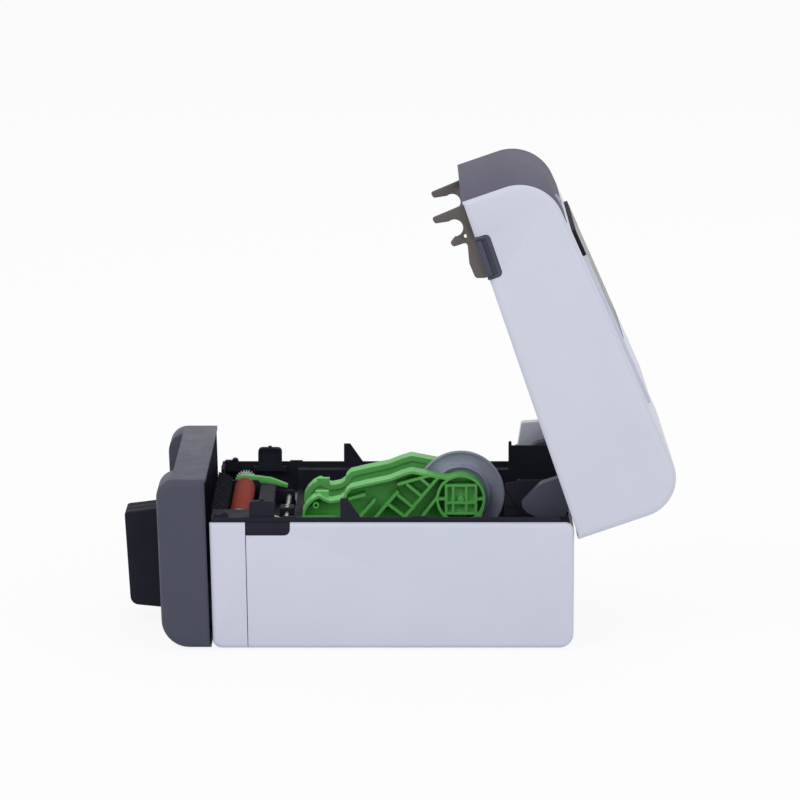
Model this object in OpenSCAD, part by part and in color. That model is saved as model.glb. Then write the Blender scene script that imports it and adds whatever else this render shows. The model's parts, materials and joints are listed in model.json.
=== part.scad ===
// Desktop label printer with a hinged lid, drawn with the lid open
// Millimetres: X across the printer, -Y towards its front, Z up from the table

/* [Base case] */
// Width over the white side walls
case_w = 204; // [190:1:250]
// Rear wall's distance behind the origin
rear_reach = 139; // [130:1:170]
// White side covers' distance in front of the origin
front_reach = 107; // [100:1:130]
// Height of the white side walls above the table
wall_top = 88; // [84:0.5:106]
// Thickness of the base case walls
wall = 3; // [2:0.1:3.6]
// Radius along the side edges of the case
case_fillet = 3.5; // [2:0.1:5]
// Radius of the rear bottom corner
rear_corner = 9.5; // [5:0.5:14]
// Height of the rubber feet below the case
foot_h = 1.2; // [1:0.1:3]

/* [Front panel] */
// Depth of the panel from its front face to its rear edge
panel_d = 33.7; // [28:0.1:42]
// Height of the panel's top above the table
panel_top = 117.3; // [112:0.5:141]
// Radius of the top front edge
panel_top_r = 12.5; // [8:0.5:16]
// Radius of the bottom front edge
panel_foot_r = 19; // [10:0.5:24]
// Half width of the finger scoop in the top edge
scoop_half = 66.5; // [45:0.5:75]
// Depth of the finger scoop behind the front face
scoop_d = 10.6; // [5:0.1:14]
// Height of the finger scoop below the top edge
scoop_h = 32; // [20:0.5:38]

/* [Front module] */
// Width of the black module on the front panel
module_w = 33; // [24:0.5:44]
// Height of the module where it meets the panel
module_h = 71; // [50:0.5:74]
// Distance that the module stands out of the panel
module_out = 27.5; // [15:0.5:34]

/* [Lid] */
// Height of the lid's side walls at the rear
lid_h = 79.5; // [70:0.5:96]
// Drop of the lid's top line towards its front
lid_fall = 20.6; // [10:0.1:25]
// Radius of the rear top edge of the lid
lid_rear_r = 27; // [18:0.5:34]
// Radius of the front top edge of the lid
lid_front_r = 31; // [18:0.5:32]
// Thickness of the lid's walls
shell_t = 2.5; // [2:0.1:3.2]
// Radius along the side edges of the lid
lid_fillet = 5; // [3:0.1:6]
// Angle between the open lid and the closed lid
open_angle = 70.9; // [60:0.1:72]
// Length of the smoked window along the lid
window_len = 84; // [60:1:96]
// Half width of the raised panel that holds the window
crown_half = 72; // [60:1:80]

/* [Platen] */
// Radius of the rubber roller
roller_r = 7.4; // [6:0.1:8]
// Half length of the rubber roller
roller_half = 54; // [40:0.5:54]
// Radius of the roller's steel shaft
shaft_r = 3; // [2.5:0.1:4]
// Size of a gear tooth, pitch diameter over tooth count
tooth_module = 0.6; // [0.6:0.01:0.62]
// Teeth of the roller's gear
platen_teeth = 24; // [22:1:26]
// Teeth of the motor's pinion
pinion_teeth = 16; // [14:1:17]
// Teeth of the large idler gear
idler_large_teeth = 38; // [34:1:38]
// Teeth of the small idler gear
idler_small_teeth = 28; // [27:1:29]

/* [Roll holder] */
// Distance from an arm's round end to its front tip
arm_len = 109; // [95:1:116]
// Height of an arm's peak above the middle of its round end
arm_up = 20; // [18:0.5:24]
// Thickness of an arm
arm_t = 15; // [12:0.5:16]
// Half of the gap between the arms when they are closed up
arm_gap_half = 20; // [18:0.5:28]
// Distance that each arm slides outwards
arm_travel = 42; // [30:0.5:44]
// Radius of the spool disc
disc_r = 30.5; // [24:0.5:32]
// Thickness of the spool disc
disc_t = 11; // [8:0.5:12]
// Radius of the far spool hub
hub_r = 17; // [12:0.5:20]

/* [Ribbon drive] */
// Radius of the ribbon spindles
spindle_r = 12; // [9:0.5:13]
// Distance between the two ribbon spindles
spindle_pitch = 52; // [48:0.5:58]

/* [Hidden] */

// Colours of the real object
white_col = [0.80, 0.81, 0.87];
panel_col = [0.33, 0.35, 0.39];
black_col = [0.10, 0.10, 0.12];
green_col = [0.31, 0.63, 0.29];
steel_col = [0.62, 0.62, 0.64];
sheet_col = [0.39, 0.37, 0.37];
rubber_col = [0.49, 0.23, 0.19];
gear_col = [0.78, 0.79, 0.84];
disc_col = [0.43, 0.44, 0.49];
board_col = [0.08, 0.33, 0.18];
smoke_col = [0.16, 0.16, 0.19, 0.6];

// Shared clearances, overrun of cuts and curve steps
fit = 0.2;
run_gap = 0.05;
seat_gap = 0.02;
clear = 0.4;
over = 1;
slice_t = 0.02;
arc_steps = 3;
arc_len = 2.4;
fillet_steps = 4;
$fn = 48;
coarse_fn = 32;

// Heights and depths that several pieces share
half_w = case_w / 2;
floor_z = foot_h + wall;
rim_up = 3;
rim_z = wall_top + rim_up;
lid_gap = 0.5;
lid_z = rim_z + lid_gap;
lid_rear_in = 4;
lid_y = rear_reach - lid_rear_in;
lid_over = 0.9;
lid_len = lid_y + front_reach + lid_over;
hinge_in = 11.7;
hinge_down = 9.1;
hinge_y = rear_reach - hinge_in;
hinge_z = wall_top - hinge_down;
hinge_pin_r = 3;

// Roller axis, measured from the front and from the rim
platen_in = 18.8;
platen_down = 10.5;
platen_y = -front_reach + platen_in;
platen_z = rim_z - platen_down;
head_u = lid_y - platen_y;
head_v = platen_z - lid_z;

// Outline helpers: corners are [a, b, radius], radius 0 keeps the corner sharp
function unit2(v) = v / norm(v);
function corner_arc(p, c, n, r) =
    let (a = unit2(p - c), b = unit2(n - c), half = acos(a * b) / 2,
         reach = r / tan(half), centre = c + unit2(a + b) * r / sin(half),
         s = c + a * reach - centre, e = c + b * reach - centre,
         start = atan2(s[1], s[0]),
         turn = (atan2(e[1], e[0]) - start + 540) % 360 - 180,
         steps = arc_steps + ceil(r * abs(turn) / 90 / arc_len))
    [for (i = [0 : steps])
        centre + r * [cos(start + turn * i / steps), sin(start + turn * i / steps)]];
function flat2(p) = [p[0], p[1]];
function rounded(corners) =
    let (k = len(corners))
    [for (i = [0 : k - 1]) each
        corners[i][2] > 0
        ? corner_arc(flat2(corners[(i + k - 1) % k]), flat2(corners[i]),
                     flat2(corners[(i + 1) % k]), corners[i][2])
        : [flat2(corners[i])]];
function box_pts(lo, hi) = [[lo[0], lo[1]], [hi[0], lo[1]], [hi[0], hi[1]], [lo[0], hi[1]]];
// A point of the closed lid: u from its rear edge forward, v up from its lower edge
function lid_pt(u, v, r = 0) = [lid_y - u, lid_z + v, r];

// Gear outline: root and tip corners of each tooth, as shares of the tooth spacing
tooth_at_share = [-0.30, -0.12, 0.12, 0.30];
tip_share = 0.95;
root_share = 1.2;
function gear_pts(teeth, size, turn) =
    let (rp = teeth * size / 2)
    [for (i = [0 : teeth - 1], k = [0 : 3])
        let (a = turn + (i + tooth_at_share[k]) * 360 / teeth,
             r = (k == 0 || k == 3) ? rp - root_share * size : rp + tip_share * size)
        r * [cos(a), sin(a)]];
// Rack outline: teeth point to +b, pitch line at b = 0
function rack_pts(pitch, size, first, last, back) =
    concat([[(first - 0.5) * pitch, -back], [(first - 0.5) * pitch, -root_share * size]],
           [for (i = [first : last - 1], k = [0 : 3])
               [(i + 0.5 + tooth_at_share[k]) * pitch - pitch / 2,
                (k == 0 || k == 3) ? -root_share * size : tip_share * size]],
           [[(last - 0.5) * pitch, -root_share * size], [(last - 0.5) * pitch, -back]]);

// Solid helpers
module block(lo, hi) translate(lo) cube(hi - lo);
// Extrudes an outline drawn in Y and Z from x0 to x1
module plate_x(x0, x1) translate([x0, 0, 0]) rotate([90, 0, 90])
    linear_extrude(height = x1 - x0) children();
module rod_x(r, x0, x1, y, z) translate([x0, y, z]) rotate([0, 90, 0]) cylinder(r = r, h = x1 - x0);
module rod_z(r, z0, z1, x, y) translate([x, y, z0]) cylinder(r = r, h = z1 - z0);
module rod_y(r, y0, y1, x, z) translate([x, y1, z]) rotate([90, 0, 0]) cylinder(r = r, h = y1 - y0);
module both_sides() {
    children();
    mirror([1, 0, 0]) children();
}
// Twice the signed area of an outline, to tell which way round it runs
function turned(pts, i = 0) = i >= len(pts) ? 0
    : let (p = pts[i], q = pts[(i + 1) % len(pts)]) p[0] * q[1] - p[1] * q[0] + turned(pts, i + 1);
function onward(pts) = turned(pts) > 0 ? pts : [for (i = [len(pts) - 1 : -1 : 0]) pts[i]];
// Moves every side of an outline inwards by d
function inset_pts(pts, d) =
    let (k = len(pts))
    [for (i = [0 : k - 1])
        let (a = unit2(pts[i] - pts[(i + k - 1) % k]), b = unit2(pts[(i + 1) % k] - pts[i]),
             m = [-a[1], a[0]], n = [-b[1], b[0]])
        pts[i] + d * (m + n) / (1 + m * n)];
// A slab with rounded side edges, as one ring of points for each step
module soft_slab(outline, half, r) {
    pts = onward(outline);
    k = len(pts);
    bends = [for (i = [0 : fillet_steps]) 90 * i / fillet_steps];
    rings = concat([for (i = [fillet_steps : -1 : 0]) [r - half - r * sin(bends[i]), r - r * cos(bends[i])]],
                   [for (a = bends) [half - r + r * sin(a), r - r * cos(a)]]);
    last = len(rings) - 1;
    polyhedron(
        points = [for (g = rings) each [for (p = inset_pts(pts, g[1])) [g[0], p[0], p[1]]]],
        faces = concat(
            [[for (i = [0 : k - 1]) i]],
            [for (j = [0 : last - 1], i = [0 : k - 1])
                [(j + 1) * k + i, (j + 1) * k + (i + 1) % k, j * k + (i + 1) % k, j * k + i]],
            [[for (i = [k - 1 : -1 : 0]) last * k + i]]));
}
module open_pose() {
    translate([0, hinge_y, hinge_z]) rotate([-open_angle, 0, 0])
        translate([0, -hinge_y, -hinge_z]) children();
}
module ring_x(r_out, r_in, x0, x1, y, z) difference() {
    rod_x(r_out, x0, x1, y, z);
    rod_x(r_in, x0 - over, x1 + over, y, z);
}

// Base case: side seam, corner shapes, bosses and ports
seam_in = 24.7;
seam_lean = 1.5;
seam_w = 0.5;
front_lean = 2;
front_foot_r = 6;
case_rear_r = 6;
seam_y = -front_reach + seam_in;
case_corners = [[-front_reach, wall_top, 0], [-front_reach + front_lean, foot_h, front_foot_r],
                [rear_reach, foot_h, rear_corner], [rear_reach, wall_top, case_rear_r]];
catch_len = 29.8;
catch_h = 8.7;
catch_r = 4;
boss_r = 3.9;
screw_r = 1.6;
screw_head_r = 3;
screw_head_h = 1.4;
boss_gap = 2.6;
deck_z = 85;
deck_t = 2.2;
boss_x = half_w - wall - boss_r - boss_gap;
boss_in = 27;
boss_front_y = seam_y + boss_in + boss_in / 2;
boss_rear_y = rear_reach - boss_in;
frame_z = 66;
frame_t = 2.5;
frame_boss_x = [-30, 46];
frame_boss_front = 7.4;
frame_boss_rear = 30;
frame_boss_y = [platen_y - frame_boss_front, platen_y + frame_boss_rear];
board_z = 8;
board_t = 1.6;
board_x = [-62, 44];
board_len = 114;
board_in = 2;
board_lo = [board_x[0], rear_reach - wall - board_in - board_len];
board_hi = [board_x[1], rear_reach - wall - board_in];
board_boss_in = 6;
port_out = 0.6;
port_depth = 18;
usb_x = 30;
usb_size = [12, 11];
lan_x = 8;
lan_size = [16, 13.5];
inlet_x = -24;
inlet_size = [11, 12];
switch_x = 52;
switch_size = [22, 14];
ports = [[usb_x, usb_size], [lan_x, lan_size], [inlet_x, inlet_size], [switch_x, switch_size]];
port_z = board_z + board_t;
foot_r = 7;
foot_seat = 0.8;
foot_in = 16;
foot_places = concat([[0, 0]], [for (x = [-1, 1], y = [seam_y - foot_in / 2, rear_reach - foot_in])
    [x * (half_w - foot_in), y]]);

module case_blank() soft_slab(rounded(case_corners), half_w, case_fillet);
module case_hollow() plate_x(-half_w + wall, half_w - wall) polygon(rounded([
    [-front_reach - over, rim_z + over, 0], [-front_reach - over, floor_z, 0],
    [rear_reach - wall, floor_z, rear_corner - wall], [rear_reach - wall, rim_z + over, 0]]));
// Zone of a side cover, in front of the leaning seam
module cover_zone(gap) plate_x(half_w - wall, half_w + over) polygon([
    [-front_reach - over, rim_z], [-front_reach - over, 0],
    [seam_y + seam_lean - gap, 0], [seam_y - gap, rim_z]]);
module catch_outline(gap) polygon(rounded([
    [seam_y + gap, rim_z, 0], [seam_y + gap, wall_top - catch_h + gap, 0],
    [seam_y + catch_len - gap, wall_top - catch_h + gap, catch_r],
    [seam_y + catch_len - gap, rim_z, 0]]));
module port_window(x, size, gap) translate([x - gap, rear_reach - wall - over, port_z - gap])
    cube([size[0] + 2 * gap, wall + 2 * over, size[1] + 2 * gap]);

module lower_case() color(white_col) difference() {
    union() {
        difference() {
            case_blank();
            case_hollow();
        }
        for (x = [-boss_x, boss_x], y = [boss_front_y, boss_rear_y])
            rod_z(boss_r, floor_z - seat_gap, deck_z, x, y);
        for (x = frame_boss_x, y = frame_boss_y)
            rod_z(boss_r, floor_z - seat_gap, frame_z, x, y);
        for (x = [board_lo[0] + board_boss_in, board_hi[0] - board_boss_in],
             y = [board_lo[1] + board_boss_in, board_hi[1] - 3 * board_boss_in])
            rod_z(screw_head_r, floor_z - seat_gap, board_z, x, y);
    }
    both_sides() cover_zone(0);
    both_sides() plate_x(half_w - wall - over / 2, half_w + over) catch_outline(0);
    for (p = ports) port_window(p[0], p[1], fit);
    for (x = [-boss_x, boss_x], y = [boss_front_y, boss_rear_y]) {
        rod_z(screw_r, 0, deck_z + over, x, y);
        rod_z(screw_head_r + fit, 0, foot_h + screw_head_h, x, y);
    }
    for (p = foot_places) rod_z(foot_r + fit, 0, foot_h + foot_seat, p[0], p[1]);
}
module side_cover() color(white_col) intersection() {
    case_blank();
    translate([seat_gap, 0, 0]) cover_zone(seam_w);
}
module side_cover_right() side_cover();
module side_cover_left() mirror([1, 0, 0]) side_cover();
module case_screws() color(steel_col)
    for (x = [-boss_x, boss_x], y = [boss_front_y, boss_rear_y]) {
        rod_z(screw_head_r, foot_h + fit, foot_h + screw_head_h - seat_gap, x, y);
        rod_z(screw_r - seat_gap, foot_h + screw_head_h - seat_gap, deck_z, x, y);
    }
module rubber_feet() color(black_col)
    for (p = foot_places) rod_z(foot_r, 0, foot_h + foot_seat - seat_gap, p[0], p[1]);

// Latch catch plates in the white side walls
module latch_catch() color(panel_col) intersection() {
    plate_x(half_w - wall, half_w) catch_outline(fit);
    case_blank();
}
module latch_catch_right() latch_catch();
module latch_catch_left() mirror([1, 0, 0]) latch_catch();

// Front panel
panel_gap = 1;
panel_rear_lean = 3.3;
panel_front_lean = 3.9;
panel_fillet = 5;
panel_wall = 2.5;
panel_rear_foot = -front_reach + front_lean - panel_gap;
panel_rear_top = panel_rear_foot - panel_rear_lean;
panel_front_top = panel_rear_top - panel_d;
panel_front_foot = panel_front_top + panel_front_lean;
scoop_y = panel_front_top + scoop_d;
scoop_z = panel_top - scoop_h;
scoop_r = 8;
scoop_rise = 5;
tab_half = 8;
tab_x = 45;
tab_in = 6;
tab_t = 2.4;
peg_r = 3;
peg_z = [32, 58];
module panel_outline() polygon(rounded([
    [panel_rear_foot, foot_h, 0], [panel_front_foot, foot_h, panel_foot_r],
    [panel_front_top, panel_top, panel_top_r], [panel_rear_top, panel_top, panel_wall]]));
module panel_hollow() polygon(rounded([
    [-front_reach + over, foot_h + panel_wall, 0],
    [panel_front_foot + panel_wall, foot_h + panel_wall, panel_foot_r - panel_wall],
    [panel_front_top + panel_wall, panel_top - panel_wall, panel_top_r - panel_wall],
    [-front_reach + over, panel_top - panel_wall, 0]]));
// Side outline of the finger scoop, grown by a wall for the skin behind it
module scoop_outline(grow) polygon(rounded([
    [panel_front_top - panel_d, panel_top + over, 0], [scoop_y + grow, panel_top + over, 0],
    [scoop_y + grow, scoop_z + scoop_rise - grow, scoop_r],
    [panel_front_top - panel_d, scoop_z - scoop_rise - grow, 0]]));
module panel_blank() soft_slab(rounded([
    [panel_rear_foot, foot_h, 0], [panel_front_foot, foot_h, panel_foot_r],
    [panel_front_top, panel_top, panel_top_r], [panel_rear_top, panel_top, 0]]),
    half_w, panel_fillet);
module front_panel() color(panel_col) difference() {
    union() {
        difference() {
            panel_blank();
            plate_x(-half_w + panel_wall, half_w - panel_wall) panel_hollow();
        }
        intersection() {
            panel_blank();
            plate_x(-scoop_half - panel_wall, scoop_half + panel_wall) scoop_outline(panel_wall);
        }
        for (x = [-tab_x, tab_x]) {
            block([x - tab_half, panel_rear_foot - tab_in, foot_h + panel_wall - seat_gap],
                  [x + tab_half, panel_rear_foot - fit, floor_z + tab_t]);
            block([x - tab_half, panel_rear_foot - tab_in, floor_z + seat_gap],
                  [x + tab_half, panel_rear_foot + tab_in, floor_z + tab_t]);
        }
    }
    plate_x(-scoop_half, scoop_half) scoop_outline(0);
    for (z = peg_z) rod_y(peg_r + seat_gap, panel_front_top - over, panel_rear_foot, 0, z);
}

// Front module: a body between two side shells
module_root_gap = 0.2;
module_drop = 4.6;
module_top = scoop_z - module_drop;
module_foot = module_top - module_h;
module_draft_top = 3.4;
module_draft_foot = 2.6;
module_front_lean = 1.4;
module_front_r = 6;
module_groove = 0.7;
module_shell_share = 0.32;
module_peg_len = 6;
function panel_front_at(z) = panel_front_foot + (panel_front_top - panel_front_foot)
    * (z - foot_h) / (panel_top - foot_h);
module module_outline(inset) offset(delta = -inset) polygon(rounded([
    [panel_front_at(module_top) - module_root_gap, module_top, 0],
    [panel_front_at(module_foot) - module_root_gap, module_foot, 0],
    [panel_front_at(module_foot) - module_out + module_front_lean, module_foot + module_draft_foot,
     module_front_r],
    [panel_front_at(module_top) - module_out, module_top - module_draft_top, scoop_r / 4]]));
module module_body() color(black_col) union() {
    plate_x(-module_w * (0.5 - module_shell_share), module_w * (0.5 - module_shell_share))
        module_outline(0);
    plate_x(-module_w * (0.5 - module_shell_share) - module_groove,
            module_w * (0.5 - module_shell_share) + module_groove) module_outline(module_groove);
    for (z = peg_z) rod_y(peg_r, panel_front_at(z) - module_root_gap - over,
                          panel_front_at(z) + module_peg_len, 0, z);
}
module module_shell() color(black_col) hull() {
    plate_x(module_w * (0.5 - module_shell_share) + module_groove, module_w / 2 - module_groove)
        module_outline(0);
    plate_x(module_w / 2 - slice_t, module_w / 2) module_outline(module_groove);
}
module module_shell_right() module_shell();
module module_shell_left() mirror([1, 0, 0]) module_shell();

// Inner tray: rim ring, deck, roll well, partitions, towers and fins
tray_half = half_w - wall - fit;
tray_t = 2.2;
tray_lip = 1.4;
tray_front = -front_reach + tray_lip;
tray_rear = rear_reach - wall - fit;
skirt_z = 70;
ring_cut_half = 70;
ring_cut_z = 76.5;
well_side = 13;
well_back = 10;
well_half = half_w - wall - well_side;
well_rear = rear_reach - well_back;
well_floor = 27;
well_lead = 36.8;
well_front = platen_y + well_lead;
ramp_z = 73;
ramp_drop = 3;
ramp_foot = platen_y + 2.6 * well_lead;
ramp_head = platen_y + 1.5 * well_lead;
well_r = [20, 25, 10];
part_x = 61;
part_in = 47;
part_front = rear_reach - part_in;
part_far_front = part_front + well_side / 2;
part_under = 7.8;
part_top = panel_top - part_under;
part_step = [1.2, 9.4, 10.6];
part_nub = 3;
part_r = 1;
gusset = [12.6, 2.4, 23];
arm_slot = [64.5, 78];
arm_slot_z = 69.6;
ear_x = 79;
ear_half = 9;
ear_up = 7;
ear_down = 18;
ear_r = [5, 2];
ledge_x = 71;
boss_clear = 0.8;
end_x = [91.2, 96.5];
end_len = 11.5;
end_up = 1.6;
end_bump_r = 2.4;
tower_x = [91.8, 97];
tower_in = 8.2;
tower_len = 17;
tower_up = 10.8;
tower_top = rim_z + tower_up;
tower_ledge = 3.4;
tower_r = 3;
tower_stud_r = 1.2;
tower_lip = [1.6, 0.7];
fin_y = 83.2;
fin_len = 13.6;
fin_flat = 4.5;
fin_up = 13;
bump_h = 0.8;
bump_len = 9;
bump_y = [31, 118];
centre_in = 96;
centre_y = rear_reach - centre_in;
rod_z_up = 13;
guide_r = 3;
rod_pitch = 1.25;
centre_teeth = 16;
centre_t = 3.2;
centre_post_r = 3;
centre_gap = 1.2;
centre_rp = centre_teeth * rod_pitch / 2;
guide_at = [-23, 27];
guide_y = [centre_y + guide_at[0], centre_y + guide_at[1]];
guide_z = well_floor + rod_z_up;
// Side outline of the roll well, open at the top
module well_outline(lead, up) polygon(rounded([
    [well_rear, up, 0], [well_rear, well_floor, well_r[0]],
    [ramp_foot, well_floor, well_r[1]], [ramp_head, ramp_z - ramp_drop, well_r[2]],
    [well_front - lead, ramp_z, 0], [well_front - lead, up, 0]]));
module well_shell() difference() {
    plate_x(-well_half - tray_t, well_half + tray_t) intersection() {
        offset(delta = tray_t) well_outline(0, deck_z + deck_t);
        polygon(box_pts([well_front, 0], [well_rear + tray_t, deck_z + deck_t]));
    }
    plate_x(-well_half, well_half) well_outline(over, rim_z + over);
}
part_back = [[well_rear, part_top, part_r], [tray_rear - seat_gap, well_floor + well_r[0], 0],
             [well_rear - well_r[0], well_floor - seat_gap, 0]];
// Near partition with a stepped front edge; the far one is plain
module partition() {
    plate_x(part_x, part_x + tray_t) polygon(rounded([
        [part_front, well_floor - seat_gap, 0],
        [part_front + part_step[0], part_top - 2 * part_step[0], part_r],
        [part_front + part_step[1], part_top - part_step[0], part_r],
        [part_front + part_step[2], part_top, part_r / 2],
        each part_back]));
    plate_x(part_x + tray_t - seat_gap, part_x + tray_t + gusset[1]) polygon([
        [part_front + part_step[0], deck_z], [part_front + gusset[0], deck_z],
        [part_front + part_step[0], deck_z + gusset[2] - part_step[2] / 2]]);
    plate_x(part_x - part_nub, part_x + tray_t)
        translate([part_front + part_step[2], part_top - part_step[0]]) circle(r = part_step[0]);
}
module far_partition() plate_x(-part_x - tray_t, -part_x) polygon(rounded([
    [part_far_front, well_floor - seat_gap, 0], [part_far_front, part_top + part_nub, part_r],
    [part_far_front + tray_t, part_top + part_nub, part_r], [part_far_front + tray_t, part_top, 0],
    each part_back]));
module hinge_ear() plate_x(ear_x, ear_x + tray_t) polygon(rounded([
    [hinge_y - ear_half, hinge_z - ear_down, 0], [hinge_y - ear_half, hinge_z + ear_up, ear_r[0]],
    [tray_rear - seat_gap, hinge_z + ear_up, ear_r[1]], [tray_rear - seat_gap, hinge_z - ear_down, 0]]));
module tower() difference() {
    union() {
        plate_x(tower_x[0], tower_x[1]) polygon(rounded([
            [platen_y + tower_in, deck_z, 0], [platen_y + tower_in, tower_top, tower_r],
            [platen_y + tower_in + tower_len, tower_top, tower_r],
            [platen_y + tower_in + tower_len, deck_z, 0]]));
        plate_x(tower_x[0], tray_half - tray_t + seat_gap) polygon(box_pts(
            [platen_y + tower_in - tower_ledge, deck_z],
            [platen_y + tower_in + tower_len + tower_ledge, deck_z + tower_ledge]));
        rod_z(tower_stud_r, tower_top - over, tower_top + tower_stud_r, (tower_x[0] + tower_x[1]) / 2,
              platen_y + tower_in + tower_len / 2);
    }
    plate_x(tower_x[0] - over, tower_x[0] + tower_lip[1]) polygon(rounded([
        [platen_y + tower_in + tower_lip[0], rim_z, 0],
        [platen_y + tower_in + tower_lip[0], tower_top - tower_lip[0], tower_r - tower_lip[0]],
        [platen_y + tower_in + tower_len - tower_lip[0], tower_top - tower_lip[0], tower_r - tower_lip[0]],
        [platen_y + tower_in + tower_len - tower_lip[0], rim_z, 0]]));
}
module fin() plate_x(tray_half - tray_t, tray_half) polygon([
    [platen_y + fin_y - fin_len, rim_z - seat_gap], [platen_y + fin_y, rim_z - seat_gap],
    [platen_y + fin_y - fin_len + fin_flat, rim_z + fin_up],
    [platen_y + fin_y - fin_len, rim_z + fin_up]]);
// Low blocks at the front ends of the rim, each with a rounded bump
module end_block() plate_x(end_x[0], end_x[1]) {
    polygon(rounded([
        [tray_front + tray_lip, deck_z, 0], [tray_front + tray_lip, rim_z + end_up, end_up],
        [tray_front + end_len, rim_z + end_up, end_up], [tray_front + end_len, deck_z, 0]]));
    translate([tray_front + end_len - end_bump_r, rim_z + end_up / 2]) circle(r = end_bump_r);
}
module inner_tray() color(black_col) difference() {
    union() {
        difference() {
            block([-tray_half, tray_front, skirt_z], [tray_half, tray_rear, rim_z]);
            block([-tray_half + tray_t, tray_front + tray_t, skirt_z - over],
                  [tray_half - tray_t, tray_rear - tray_t, rim_z + over]);
            block([-ring_cut_half, tray_front - over, ring_cut_z],
                  [ring_cut_half, tray_front + tray_t + over, rim_z + over]);
        }
        difference() {
            block([-tray_half + seat_gap, well_front, deck_z],
                  [tray_half - seat_gap, tray_rear - seat_gap, deck_z + deck_t]);
            block([-well_half, well_front - over, deck_z - over],
                  [well_half, well_rear, deck_z + deck_t + over]);
        }
        well_shell();
        partition();
        far_partition();
        both_sides() end_block();
        both_sides() hinge_ear();
        both_sides() tower();
        both_sides() fin();
        for (y = bump_y) both_sides() block([tray_half - tray_t, platen_y + y, rim_z - seat_gap],
                                            [tray_half, platen_y + y + bump_len, rim_z + bump_h]);
        rod_z(centre_post_r, well_floor - seat_gap, well_floor + 3 * centre_t, 0, centre_y);
        block([ledge_x, tray_front + seat_gap, rim_z - deck_t],
              [tray_half - seat_gap, platen_y + tower_in, rim_z]);
        block([ledge_x, tray_front + seat_gap, platen_z + shaft_r + boss_clear],
              [ledge_x + tray_t, platen_y + tower_in, rim_z]);
    }
    both_sides() block([arm_slot[0], part_front, arm_slot_z], [arm_slot[1], tray_rear + over, rim_z + over]);
    block([-half_w, well_rear + clear, wall_top + fit], [half_w, tray_rear + over, part_top + over]);
    both_sides() rod_x(hinge_pin_r + seat_gap, part_x - over, ear_x + tray_t + over, hinge_y, hinge_z);
    for (y = guide_y) rod_x(guide_r + seat_gap, -well_half - tray_t - over, well_half + tray_t + over,
                            y, guide_z);
    both_sides() for (y = [boss_front_y, boss_rear_y])
        rod_z(screw_r, deck_z - over, deck_z + deck_t + over, boss_x, y);
}
module hinge_pins() color(steel_col) both_sides()
    rod_x(hinge_pin_r, part_x, ear_x + tray_t, hinge_y, hinge_z);
module guide_rods() color(steel_col) for (y = guide_y)
    rod_x(guide_r, -well_half - tray_t, well_half + tray_t, y, guide_z);

// Rear housing at the far rear corner, with its pale cap
housing_in = 2;
housing_len = [34.6, 12];
housing_up = 13;
cap_up = 17.5;
cap_r = 2;
housing_x = [-tray_half + tray_t + fit, -well_half + housing_in];
housing_y = [rear_reach - housing_len[0], rear_reach - housing_len[1]];
housing_top = rim_z + housing_up;
cap_top = housing_top + cap_up;
cap_in = 1.2;
cap_lean = 2.6;
module rear_housing() color(black_col) difference() {
    block([housing_x[0], housing_y[0], deck_z + deck_t], [housing_x[1], housing_y[1], housing_top]);
    block([housing_x[0] + tray_t, housing_y[0] + tray_t, deck_z],
          [housing_x[1] - tray_t, housing_y[1] - tray_t, housing_top - tray_t]);
}
module rear_cap() color(white_col) plate_x(housing_x[0] + cap_in, housing_x[1] - cap_in)
    polygon(rounded([[housing_y[0] + cap_in, housing_top, 0], [housing_y[1] - cap_in, housing_top, 0],
        [housing_y[1] - cap_in, cap_top + cap_in, cap_r],
        [housing_y[0] + cap_in + cap_lean, cap_top, cap_r]]));

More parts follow.
